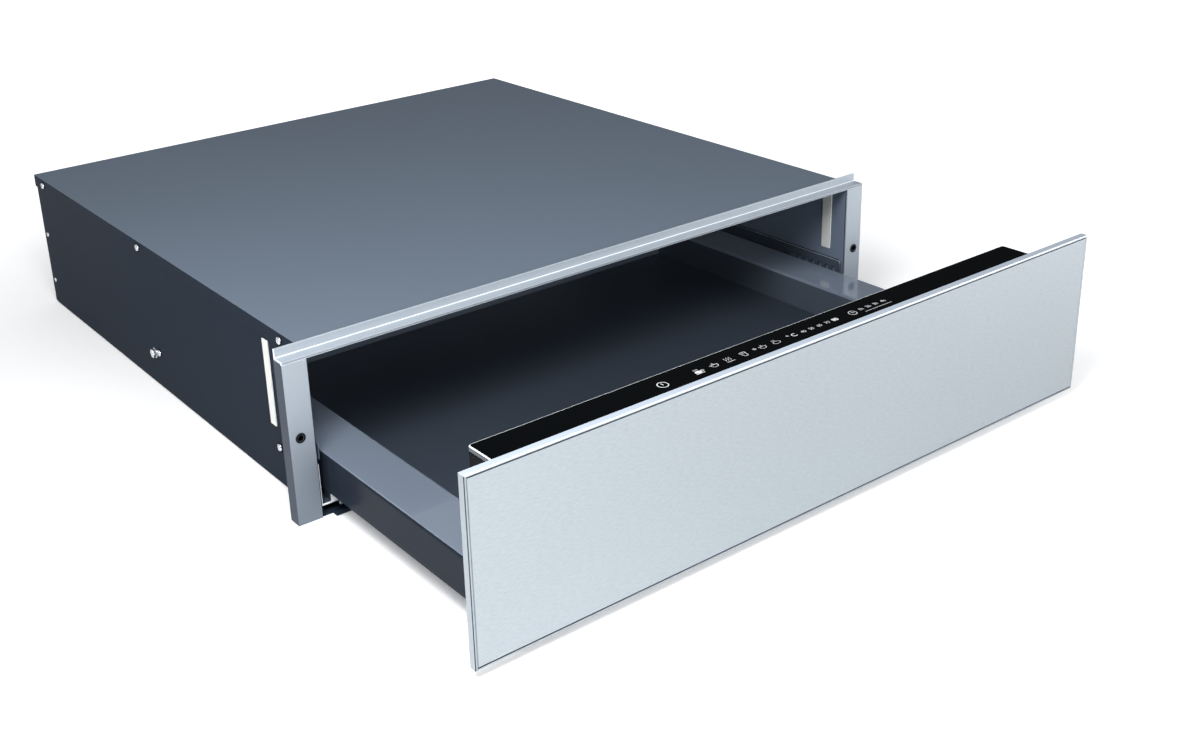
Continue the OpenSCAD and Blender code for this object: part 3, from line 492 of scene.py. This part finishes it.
# %% [markdown]
# ## Small rounds on sheet edges
#
# A folded or cut sheet has an edge radius of a few tenths of a millimetre, and the bright line that
# it draws is what tells the eye that a part is metal. The exact solids have sharp edges there. A
# copy of each is merged into clean faces, a Bevel modifier rounds the sharp edges, and the copy
# then stands for its node. On some pieces the round gets a lighter paint as a painted highlight.

# %% Helpers that copy a node and round its edges
MERGE_GAP = 0.002 * MM
FLAT_ANGLE = 0.4  # degrees between faces that become one


def only(piece):
    """Selects this piece alone and makes it the active one."""
    bpy.ops.object.select_all(action="DESELECT")
    piece.select_set(True)
    bpy.context.view_layer.objects.active = piece


def merged_copy(node, name):
    """A copy of a node's mesh with its loose triangles joined into clean faces."""
    piece = bpy.data.objects.new(name, nodes[node].data.copy())
    scene.collection.objects.link(piece)
    only(piece)
    bpy.ops.object.mode_set(mode="EDIT")
    bpy.ops.mesh.select_all(action="SELECT")
    bpy.ops.mesh.remove_doubles(threshold=MERGE_GAP)
    bpy.ops.mesh.dissolve_limited(angle_limit=math.radians(FLAT_ANGLE))
    bpy.ops.object.mode_set(mode="OBJECT")
    return piece


def round_edges(piece, width, segments=2, angle=35, finish=None):
    """Rounds every edge sharper than angle degrees, width in millimetres, if wished in its own finish."""
    only(piece)
    bevel = piece.modifiers.new("edge_round", "BEVEL")
    if finish:
        piece.data.materials.append(finish)
        bevel.material = len(piece.data.materials) - 1
    bevel.width = width * MM
    bevel.segments = segments
    bevel.limit_method = "ANGLE"
    bevel.angle_limit = math.radians(angle)
    bevel.use_clamp_overlap = True
    bpy.ops.object.modifier_apply(modifier="edge_round")
    bpy.ops.object.shade_smooth_by_angle(angle=math.radians(angle))
    weighted = piece.modifiers.new("face_shading", "WEIGHTED_NORMAL")
    weighted.keep_sharp = True
    bpy.ops.object.modifier_apply(modifier="face_shading")


def stands_for(piece, node):
    """Puts a piece on the body of the node it stands for, and hides that node."""
    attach(piece, body_of[node])
    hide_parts(node)


def both_sides(table):
    """The same table with each star in a name written out as left and as right."""
    return {name.replace("*", side): value for name, value in table.items() for side in ("left", "right")}


print("edge helpers ready; corners closer than", MERGE_GAP / MM, "mm are merged")

# %% Round the edges of the sheets
ROUND_WIDTHS = {  # millimetres
    "top_cover": 0.35, "*_side_panel": 0.25, "base_panel": 0.3, "rear_panel": 0.2,
    "frame_top_rail": 0.45, "*_frame_post": 0.4, "outer_side_strips": 0.12, "inner_glide_strips": 0.2,
    "*_guide_rail": 0.25, "*_slide_brackets": 0.45, "*_cabinet_rail": 0.25, "*_drawer_rail": 0.25,
    "*_middle_rail": 0.2, "*_drawer_side": 0.3, "drawer_rear_side": 0.3, "drawer_floor": 0.2,
    "inner_front": 0.3, "drawer_mat": 0.5, "control_box": 0.5, "cord_gland": 0.6, "terminal_block": 0.4,
}
# The rounds of these pieces get a lighter paint than their sheet: a painted highlight along the edge.
edge_highlight_paints = both_sides({
    "frame_top_rail": painted_highlight_bright, "*_guide_rail": painted_highlight_pale, "*_drawer_side": painted_highlight_pale,
    "inner_front": painted_highlight_pale, "*_drawer_rail": painted_highlight_bright, "*_slide_brackets": painted_highlight_bright,
})
rounded = {}
for node, width in both_sides(ROUND_WIDTHS).items():
    rounded[node] = merged_copy(node, node + "_rounded")
    round_edges(rounded[node], width, finish=edge_highlight_paints.get(node))
    stands_for(rounded[node], node)
print("rounded copies:", len(rounded))

# %% [markdown]
# ## Faces in a second shade
#
# The turned-down edges of the cover, the outer walls of the tray and the returns of the posts get a
# darker paint than the sheet that they belong to, as painted shade. The inner walls of the tray, the
# front of the top rail and the front ends of the slide brackets get painted shade too, with a painted
# highlight on each bracket's lip, while the inner walls of the housing and the guide rails get a
# lighter paint as painted light. A second material goes on such faces, chosen by the way they point
# and, where that isn't enough, by where they lie.

# %% Shade the side faces
SIDEWAYS = 0.6  # the part of a normal along an axis that counts as facing that way
SQUARE = 0.98  # the same for a flat face, without the rounds beside it
LEANING = 0.1  # the same for a face that leans that way at all
STRAIGHT = 0.9  # the same for a face and the flattest part of its rounds
FLAT = 0.99  # the longest part of a normal that counts as lying along an axis
RAIL_LIP = 4 * MM  # the upper edge of a guide rail, which stays light
BRACKET_END = 25 * MM  # behind the front of the frame
BRACKET_FACE = 4 * MM  # behind the front of the frame
BRACKET_LIP_LOW, BRACKET_LIP_HIGH = 6 * MM, 14 * MM  # over the floor
FRONT_SLACK = 0.5 * MM


def shade_faces(piece, finish, test):
    """Gives the faces for which test(normal, centre) holds a finish of their own."""
    piece.data.materials.append(finish)
    chosen = [face for face in piece.data.polygons if test(face.normal, face.center)]
    for face in chosen:
        face.material_index = len(piece.data.materials) - 1
    print(piece.name, "has", len(chosen), "faces in", finish.name)


def on_bracket_lip(normal, centre):
    """The low lip on the front face of a slide bracket."""
    in_front = normal.y < -STRAIGHT and centre.y < BRACKET_FACE
    return in_front and BRACKET_LIP_LOW < centre.z < BRACKET_LIP_HIGH


# The cover's turned-down edges take the darker housing paint as painted shade.
shade_faces(rounded["top_cover"], materials["housing_paint"], lambda normal, centre: abs(normal.z) < SIDEWAYS)
for side, sign in (("left", -1), ("right", 1)):
    wall = rounded[side + "_drawer_side"]
    guide = rounded[side + "_guide_rail"]
    brackets = rounded[side + "_slide_brackets"]
    lip_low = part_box(side + "_guide_rail")[1][2] - RAIL_LIP
    # Painted light on the housing's inner walls and the guide rails, painted shade on the tray's outer and
    # inner walls and on the post returns.
    shade_faces(rounded[side + "_side_panel"], painted_light_inner, lambda normal, centre: normal.x * sign < -SIDEWAYS)
    shade_faces(wall, painted_shade_outer, lambda normal, centre: normal.x * sign > SIDEWAYS)
    shade_faces(wall, painted_shade_tray, lambda normal, centre: normal.x * sign < -SQUARE)
    shade_faces(rounded[side + "_frame_post"], painted_shade_grey, lambda normal, centre: normal.x * sign > SIDEWAYS)
    shade_faces(guide, painted_light_guide, lambda normal, centre: (
        abs(normal.x) > SQUARE or normal.x * sign > LEANING or centre.z < lip_low))
    # Near the front, the flat faces of a slide bracket get painted shade and its lip a painted highlight.
    shade_faces(brackets, painted_shade_grey, lambda normal, centre: (
        centre.y < BRACKET_END and max(abs(part) for part in normal) > FLAT))
    shade_faces(brackets, painted_highlight_bright, on_bracket_lip)
# Painted shade on the inner face of the tray's rear wall and on the front of the top rail.
shade_faces(rounded["drawer_rear_side"], painted_shade_tray, lambda normal, centre: normal.y < -SQUARE)
shade_faces(rounded["frame_top_rail"], painted_shade_rail, lambda normal, centre: (
    normal.y < -SQUARE and centre.y < FRONT_SLACK))

# %% [markdown]
# ## The grommets
#
# A grommet lines each fixing hole in the posts. From the front it is a dark ring whose round edge has
# a lighter painted highlight, round a bore that is painted near black as shade. The record says where
# the holes are and how wide, so the faces of the bores are found from it.

# %% Blacken the bores of the grommets
BORE_SLACK = 0.2 * MM
holes = next(mount for mount in record["mounts"] if mount["name"] == "frame_fixing_holes")
hole_x = holes["dims"]["spacing_x_mm"] / 2 * MM
hole_z = holes["pos_m"][2]
hole_reach = holes["dims"]["hole_r_mm"] * MM + BORE_SLACK


def in_bore(normal, centre):
    """The wall of a bore: it points across Y and lies close to the hole's axis."""
    from_axis = math.hypot(abs(centre.x) - hole_x, centre.z - hole_z)
    return abs(normal.y) < 0.5 and from_axis < hole_reach


grommets = merged_copy("frame_grommets", "frame_grommets_rounded")
round_edges(grommets, width=0.3, finish=painted_highlight_grommet)
shade_faces(grommets, painted_shadow_black, in_bore)
stands_for(grommets, "frame_grommets")

# %% [markdown]
# ## The stainless front
#
# The front is a sheet that is folded round a stiffener. Its outer edge is a narrow rolled bead, and a
# shadow line runs inside it. Three insets of the front face make that line: one sets its distance
# from the edge, one sinks the face and one raises it again. The top edge is folded with a larger
# round, which is bevelled first. The fold gets a bright painted highlight, the flat top behind it a
# pale one, and the walls of the line a painted shade.

# %% Press the shadow line into the front
FOLD_ROUND = 1.7 * MM
BEAD_WIDTH = 0.5 * MM
LINE_WIDTH = 0.55 * MM
LINE_DEPTH = 0.9 * MM
TOUCH = 0.1 * MM  # how close a face lies to a plane that it belongs to
FRONT_FACING = 0.9999


def select_faces(piece, test):
    """In edit mode, selects the faces for which test(normal, centre) holds, and counts them."""
    bpy.ops.mesh.select_all(action="DESELECT")
    shape = bmesh.from_edit_mesh(piece.data)
    chosen = [face for face in shape.faces if test(face.normal, face.calc_center_median())]
    for face in chosen:
        face.select_set(True)
    bmesh.update_edit_mesh(piece.data)
    return len(chosen)


front_low, front_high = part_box("front_panel")
front_plane = front_low[1] + TOUCH
top_plane = front_high[2] - TOUCH
front_skin = merged_copy("front_panel", "front_skin")
bpy.ops.object.mode_set(mode="EDIT")
bpy.ops.mesh.select_mode(type="EDGE")
bpy.ops.mesh.select_all(action="DESELECT")
shape = bmesh.from_edit_mesh(front_skin.data)
for edge in shape.edges:
    if all(corner.co.y < front_plane and corner.co.z > top_plane for corner in edge.verts):
        edge.select_set(True)
bmesh.update_edit_mesh(front_skin.data)
bpy.ops.mesh.bevel(offset=FOLD_ROUND, segments=5, affect="EDGES", clamp_overlap=True)
bpy.ops.mesh.select_mode(type="FACE")
count = select_faces(front_skin, lambda normal, centre: normal.y < -FRONT_FACING and centre.y < front_plane)
bpy.ops.mesh.inset(thickness=BEAD_WIDTH, depth=0)
bpy.ops.mesh.inset(thickness=LINE_WIDTH, depth=-LINE_DEPTH)
bpy.ops.mesh.inset(thickness=LINE_WIDTH, depth=LINE_DEPTH)
bpy.ops.object.mode_set(mode="OBJECT")
round_edges(front_skin, width=0.12, angle=50)
print("front faces inset:", count)

# %% Shade the fold and the shadow line
OUTER_WALL = 1.3 * MM  # from the end of the front, the place where the line's outer wall ends
LEAST_SLOPE, MOST_SLOPE = 0.2, 0.95  # the part of a sloping wall's normal along Y
fold_low = front_high[2] - FOLD_ROUND
line_top = fold_low - TOUCH
line_back = front_low[1] + LINE_DEPTH - TOUCH
line_side = front_high[0] - OUTER_WALL


def in_shadow_line(normal, centre):
    """The sloping walls of the shadow line, but only the outer ones at its two ends."""
    sloping = LEAST_SLOPE < abs(normal.y) < MOST_SLOPE and front_plane < centre.y < line_back
    at_end = abs(centre.x) > line_side
    return sloping and centre.z < line_top and (abs(normal.z) > 0.3 or at_end)


def on_top(normal, centre):
    """The flat top of the front and its fold."""
    return normal.z > LEANING and centre.z > fold_low


# Painted highlights on the flat top and the fold, and painted shade on the walls of the shadow line.
shade_faces(front_skin, painted_highlight_pale, on_top)
shade_faces(front_skin, painted_highlight_bright, lambda normal, centre: on_top(normal, centre) and normal.z < STRAIGHT)
shade_faces(front_skin, painted_shade_grey, in_shadow_line)
stands_for(front_skin, "front_panel")

# %% [markdown]
# ## The glass control strip
#
# The strip is one plate of toughened glass with ground edges and round rear corners. It is a copy of
# the solid with a wider edge round. Its side faces take the ground-edge finish, and the slanting
# faces of the round take the painted glint of the rim.

# %% Grind the glass edges
SIDE_MOST, RIM_MOST = 0.3, 0.97  # the part of a normal along Z up to which a face is a side or a rim
glass = merged_copy("control_glass", "control_glass_plate")
round_edges(glass, width=1.0, segments=3)
shade_faces(glass, glass_edge, lambda normal, centre: abs(normal.z) < SIDE_MOST)
shade_faces(glass, painted_glint_rim, lambda normal, centre: SIDE_MOST <= abs(normal.z) < RIM_MOST)
stands_for(glass, "control_glass")

glass_low, glass_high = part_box("control_glass")
print("glass:", [round((b - a) / MM, 1) for a, b in zip(glass_low, glass_high)], "mm")

# %% [markdown]
# ## Printed symbols
#
# The symbols are flat shapes two hundredths of a millimetre above the glass: rings, discs, bars and
# numbers. A user stands in front, so they read along X with their tops towards the housing. Each
# helper adds one primitive, with its place in millimetres from the middle of the row, and the
# symbols are joined into one piece at the end.

# %% Helpers that print on the glass
PRINT_Z = glass_high[2] + 0.02 * MM
PRINT_Y = glass_high[1] - 15.2 * MM
printed = []


def keep_print(name):
    """Settles the shape that was just added and keeps it for the joined print."""
    piece = bpy.context.object
    piece.name = name
    bpy.ops.object.transform_apply(location=True, rotation=True, scale=True)
    printed.append(piece)


def on_glass(x, y):
    return (x * MM, PRINT_Y + y * MM, PRINT_Z)


def ring(x, y, radius, width=0.7, squash=1.0):
    """A printed ring, or an oval where squash isn't 1."""
    bpy.ops.object.select_all(action="DESELECT")
    bpy.ops.mesh.primitive_circle_add(vertices=32, radius=radius * MM, fill_type="NOTHING",
                                      location=on_glass(x, y))
    bpy.ops.object.mode_set(mode="EDIT")
    bpy.ops.mesh.select_all(action="SELECT")
    bpy.ops.mesh.extrude_edges_move()
    inner = (radius - width) / radius
    bpy.ops.transform.resize(value=(inner, inner, 1))
    bpy.ops.object.mode_set(mode="OBJECT")
    bpy.context.object.scale.y = squash
    keep_print("ring")


def disc(x, y, radius, squash=1.0):
    """A filled disc, or a filled oval."""
    bpy.ops.object.select_all(action="DESELECT")
    bpy.ops.mesh.primitive_circle_add(vertices=24, radius=radius * MM, fill_type="NGON",
                                      location=on_glass(x, y))
    bpy.context.object.scale.y = squash
    keep_print("disc")


def bar(x0, y0, x1, y1, width=0.7):
    """A straight printed line between two points."""
    bpy.ops.object.select_all(action="DESELECT")
    length = math.hypot(x1 - x0, y1 - y0)
    bpy.ops.mesh.primitive_plane_add(size=1, location=on_glass((x0 + x1) / 2, (y0 + y1) / 2),
                                     rotation=(0, 0, math.atan2(y1 - y0, x1 - x0)))
    bpy.context.object.scale = ((length + width * 0.6) * MM, width * MM, 1)
    keep_print("bar")


def figure(words, x, y, tall, bold=0.0):
    """A number or a letter whose middle is at x, y."""
    bpy.ops.object.select_all(action="DESELECT")
    bpy.ops.object.text_add(location=on_glass(x, y))
    text = bpy.context.object.data
    text.body = words
    text.size = tall * MM
    text.offset = bold * MM
    text.align_x = text.align_y = "CENTER"
    text.resolution_u = 3
    bpy.ops.object.convert(target="MESH")
    keep_print("figure")


print("the symbols lie", round((glass_high[1] - PRINT_Y) / MM, 1), "mm from the rear edge of the glass")

# %% Draw each symbol about its own middle


def power_sign(x):
    ring(x, 0, 4.2, 0.7)
    bar(x, -0.5, x, 1.9, 0.7)


def cup(x):
    disc(x, -1.0, 3.1, 0.62)
    bar(x - 3.6, -3.3, x + 3.6, -3.3, 0.6)
    for step in (-1.4, 0, 1.4):
        bar(x + step, 1.7, x + step, 3.4, 0.45)
    ring(x + 3.9, -0.4, 1.3, 0.45)


def pot(x, wide=6.2):
    ring(x, -0.4, wide / 2, 0.5, 0.7)
    bar(x - wide * 0.62, wide * 0.16, x + wide * 0.62, wide * 0.16, 0.45)
    bar(x - 0.6, wide * 0.46, x + 0.6, wide * 0.46, 0.6)


def heat_waves(x):
    for step in (-2.2, 0, 2.2):
        bar(x + step - 0.5, -0.6, x + step + 0.5, 0.9, 0.45)
        bar(x + step + 0.5, 0.9, x + step - 0.5, 2.3, 0.45)
        bar(x + step - 0.5, 2.3, x + step + 0.3, 3.4, 0.45)
    bar(x - 3.4, -2.6, x + 3.4, -2.6, 0.55)


def tumbler(x):
    bar(x - 2.6, 2.9, x - 1.4, -2.9, 0.5)
    bar(x + 2.6, 2.9, x + 1.4, -2.9, 0.5)
    bar(x - 1.4, -2.9, x + 1.4, -2.9, 0.5)
    bar(x - 2.6, 2.9, x + 2.6, 2.9, 0.5)
    bar(x - 2.2, 1.2, x + 2.2, 1.2, 0.4)


def thawing_pot(x):
    for turn_by in (0, 60, 120):
        across, along = 1.6 * math.cos(math.radians(turn_by)), 1.6 * math.sin(math.radians(turn_by))
        bar(x - across, 1.2 - along, x + across, 1.2 + along, 0.4)
    pot(x + 7.1, 5.8)


def dish(x):
    ring(x, -0.8, 3.4, 0.5, 0.6)
    for step in (-1.5, 0.2):
        bar(x + step, 1.9, x + step, 3.5, 0.45)


def temperatures(x):
    """The degree sign and the steps of the heater. The highest one is larger."""
    ring(x, 1.9, 1.0, 0.45)
    figure("C", x + 5.0, 0, 6.4, 0.1)
    for step, words in zip((14.5, 22.4, 30.7, 38.7), ("40", "50", "60", "70")):
        figure(words, x + step, 0, 4.6)
    figure("80", x + 46.8, 0, 5.2, 0.3)


def hours(x):
    """A clock and the hours that it can be set to, with a line below them."""
    ring(x, 0, 3.5, 0.6)
    bar(x, 0, x, 2.1, 0.5)
    bar(x, 0, x + 1.5, 0, 0.5)
    for step, words in zip((9.5, 17.6, 25.3, 33.4), ("1h", "2h", "3h", "4h")):
        figure(words, x + step, 0.8, 4.6, 0.05)
    bar(x + 9.0, -4.4, x + 37.0, -4.4, 0.5)


symbol_places = ((power_sign, -115.3), (cup, -84.4), (pot, -69.2), (heat_waves, -55.8), (tumbler, -41.4),
                 (thawing_pot, -30.6), (dish, -10.7), (temperatures, 2.2), (hours, 67.5))
for draw, middle in symbol_places:
    draw(middle)
print("symbols drawn:", len(symbol_places))

# %% Join the print
only(printed[0])
for piece in printed:
    piece.select_set(True)
bpy.ops.object.join()
symbols = bpy.context.object
symbols.name = "control_symbols"
symbols.data.materials.clear()
symbols.data.materials.append(white_print)
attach(symbols, "drawer")
print("symbols joined from", len(printed), "shapes")

# %% [markdown]
# ## Screws with a cross recess
#
# A pan-head screw is a low dome with a cross cut into it, and the cross catches the light even when the
# screw is only a few pixels wide. One head is modelled from a cylinder, whose outer rim is rounded
# and into which two crossed bars are cut. Each place then gets its own copy.

# %% Helpers that model a screw head
DOME_SHARE = 0.75  # of the head's height, the round of its rim
CUTTER_SHARE = 0.9  # of the head's height, the cutter's, and half of it goes in
CROSS_SHARE = 1.15  # of the head's radius, the length of the cross
BLADE_SHARE = 0.26  # of the head's radius, the width of the cross
HEAD_SMOOTH = 40  # degrees up to which neighbouring faces are shaded as one


def lying_cylinder(radius, thick, start=0.0, corners=32):
    """A cylinder along X that begins at start. Sizes are in millimetres."""
    bpy.ops.object.select_all(action="DESELECT")
    bpy.ops.mesh.primitive_cylinder_add(vertices=corners, radius=radius * MM, depth=thick * MM,
                                        location=((start + thick / 2) * MM, 0, 0),
                                        rotation=(0, math.pi / 2, 0))
    bpy.ops.object.transform_apply(location=True, rotation=True, scale=True)
    return bpy.context.object


def pan_head(radius, tall):
    """A screw head that points along X, its seat at the origin."""
    head = lying_cylinder(radius, tall)
    bpy.ops.object.mode_set(mode="EDIT")
    bpy.ops.mesh.select_mode(type="FACE")
    select_faces(head, lambda normal, centre: normal.x > STRAIGHT)
    bpy.ops.mesh.bevel(offset=tall * DOME_SHARE * MM, segments=5, affect="EDGES", clamp_overlap=True)
    bpy.ops.object.mode_set(mode="OBJECT")
    for spin in (0, math.pi / 2):
        bpy.ops.object.select_all(action="DESELECT")
        bpy.ops.mesh.primitive_cube_add(size=1, location=(tall * MM, 0, 0),
                                        rotation=(spin + math.pi / 4, 0, 0))
        cutter = bpy.context.object
        cutter.scale = (tall * CUTTER_SHARE * MM, radius * CROSS_SHARE * MM, radius * BLADE_SHARE * MM)
        only(head)
        cut = head.modifiers.new("recess", "BOOLEAN")
        cut.object = cutter
        cut.operation = "DIFFERENCE"
        cut.solver = "EXACT"
        bpy.ops.object.modifier_apply(modifier="recess")
        bpy.data.objects.remove(cutter)
    bpy.ops.object.shade_smooth_by_angle(angle=math.radians(HEAD_SMOOTH))
    return head


def ring_of_painted_shadow(radius, thick):
    """A thin near-black ring under a screw head, painted as its shadow."""
    made = lying_cylinder(radius, thick)
    round_edges(made, width=0.1)
    return made


print("screw helpers ready; a cross is as long as", CROSS_SHARE, "times its head's radius")

# %% A helper that sets the copies


def set_copies(pattern, name, places, covered, finish=screw_zinc):
    """Copies a pattern that points along +X to each (x, y, z) place, turned round where x is negative."""
    copies = []
    for place in places:
        piece = bpy.data.objects.new(name, pattern.data.copy())
        scene.collection.objects.link(piece)
        only(piece)
        if place[0] < 0:
            piece.rotation_euler = (0, 0, math.pi)
        piece.location = place
        bpy.ops.object.transform_apply(location=True, rotation=True, scale=True)
        copies.append(piece)
    for piece in copies:
        piece.select_set(True)
    bpy.ops.object.join()
    joined = bpy.context.object
    joined.name = name
    joined.data.materials.clear()
    joined.data.materials.append(finish)
    stands_for(joined, covered)
    print(name, "set at", len(places), "places")


print("a pattern can now be copied to its places on both sides")

# %% [markdown]
# ## The screws of the cover and of the rear edge
#
# Each side of the cover has three screws, and the rear edge of each side panel has two smaller ones.
# The exact model has plain round heads there. The box of each group gives the places of the outer
# ones, and only the middle screw of the cover has a place of its own.

# %% Set the screws
MODEL_HEAD = 3 * MM  # the radius of the exact model's screw heads
MIDDLE_SCREW_Y = 298.016 * MM
head = pan_head(radius=3.0, tall=1.6)
small_head = pan_head(radius=2.2, tall=1.2)
shadow_ring = ring_of_painted_shadow(radius=3.7, thick=0.3)

cover_low, cover_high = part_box("cover_screws")
cover_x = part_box("top_cover")[1][0]
cover_places = [(sign * cover_x, y, cover_high[2] - MODEL_HEAD) for sign in (-1, 1)
                for y in (cover_low[1] + MODEL_HEAD, MIDDLE_SCREW_Y, cover_high[1] - MODEL_HEAD)]
set_copies(head, "cover_screw_heads", cover_places, "cover_screws")
# A near-black ring under each cover screw is its painted shadow.
set_copies(shadow_ring, "cover_screw_painted_shadows", cover_places, "cover_screws", painted_shadow_black)

rear_low, rear_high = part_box("rear_edge_screws")
side_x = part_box("right_side_panel")[1][0]
rear_places = [(sign * side_x, rear_low[1] + MODEL_HEAD, z) for sign in (-1, 1)
               for z in (rear_low[2] + MODEL_HEAD, rear_high[2] - MODEL_HEAD)]
set_copies(small_head, "rear_screw_heads", rear_places, "rear_edge_screws")

# %% [markdown]
# ## The hex bolt and its neighbours
#
# Each side has one hex bolt with a washer, and two pan heads. The hexagon starts as a cylinder with
# six sides, its edges are rounded a little, and a washer with a round edge lies under it. They are
# joined, so that both sides get a copy of the pair.

# %% Model the hex bolt
WASHER_RADIUS, WASHER_THICK = 4.6, 0.7  # millimetres
HEX_RADIUS, HEX_TALL = 4.2, 2.8  # millimetres
washer = lying_cylinder(WASHER_RADIUS, WASHER_THICK)
round_edges(washer, width=0.2)
bolt = lying_cylinder(HEX_RADIUS, HEX_TALL, start=WASHER_THICK, corners=6)
round_edges(bolt, width=0.35)
washer.select_set(True)
bpy.ops.object.join()
print("hex bolt with", len(bolt.data.polygons), "faces")

# %% Set the side fixings
SCREW_TO_BOLT = 10 * MM  # from the middle screw back to the bolt
BOLT_Z = 32 * MM
FRONT_SCREW_Z, MIDDLE_SCREW_Z = 34 * MM, 35 * MM
fixings_low, fixings_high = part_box("slide_bolts")
bolt_y = fixings_high[1] - WASHER_RADIUS * MM
bolt_places = [(sign * side_x, bolt_y, BOLT_Z) for sign in (-1, 1)]
small_places = [(sign * side_x, y, z) for sign in (-1, 1)
                for y, z in ((fixings_low[1] + MODEL_HEAD, FRONT_SCREW_Z),
                             (bolt_y - SCREW_TO_BOLT, MIDDLE_SCREW_Z))]
set_copies(bolt, "side_hex_bolts", bolt_places, "slide_bolts")
set_copies(head, "side_screw_heads", small_places, "slide_bolts")
# A near-black ring under each side screw is its painted shadow.
set_copies(shadow_ring, "side_screw_painted_shadows", small_places, "slide_bolts", painted_shadow_black)
for pattern in (head, small_head, bolt, shadow_ring):
    bpy.data.objects.remove(pattern)

# %% [markdown]
# ## The floor
#
# The floor is one very large pale plane, so that no edge of it shows. Photographers light the paper
# round an object by itself to make it white. Here the floor glows a little under the drawer and more
# and more from a third of a metre outwards, and the soft shadow close to the housing stays.

# %% Lay the floor
FLOOR_SIZE = 30  # metres
FLOOR_DROP = 0.2 * MM  # below the housing, so that the two faces don't meet
PAPER_DARK, PAPER_LIGHT = (0.90, 0.905, 0.915), (0.92, 0.925, 0.93)
GLOW_STRETCH, GLOW_SHIFT = (0.85, 1, 1), (0.15, -0.12, 0)
GLOW_FROM, GLOW_TO = 0.3, 1.1  # metres
GLOW_LEAST, GLOW_MOST = 0.22, 0.9
BLACK, WHITE = (0, 0, 0), (1, 1, 1)
bpy.ops.object.select_all(action="DESELECT")
bpy.ops.mesh.primitive_plane_add(size=FLOOR_SIZE, location=(0, 0, -FLOOR_DROP))
floor = bpy.context.object
floor.name = "studio_floor"
floor_finish = Finish("pale_floor", specular_ior_level=0.1, emission_strength=1.0)
cloud = floor_finish.noise(0.8, detail=2)
from_middle = floor_finish.node("VectorMath", {"operation": "LENGTH"},
                                {0: floor_finish.place(GLOW_STRETCH, GLOW_SHIFT)}, output="Value")
glow = floor_finish.node("MapRange", {"interpolation_type": "SMOOTHSTEP"},
                         {"Value": from_middle, "From Min": GLOW_FROM, "From Max": GLOW_TO,
                          "To Min": GLOW_LEAST, "To Max": GLOW_MOST})
floor_finish.set(base_color=floor_finish.tint(PAPER_DARK, PAPER_LIGHT, cloud), roughness=0.7 + 0.1 * cloud,
                 emission_color=floor_finish.tint(BLACK, WHITE, glow))
floor.data.materials.append(floor_finish.material)
floor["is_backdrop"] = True
print("floor:", FLOOR_SIZE, "m square")

# %% [markdown]
# ## Sizes
#
# Both boxes, of the exact model and of the dressed drawer, are printed in millimetres. The dressed
# drawer must stay inside the box of the exact model.

# %% Print the sizes
visual_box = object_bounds()
sizes = {"cad": [list(corner) for corner in cad_box], "visual": [list(corner) for corner in visual_box]}
print("sizes in mm:", {k: [round((b - a) / MM, 1) for a, b in zip(*v)] for k, v in sizes.items()})
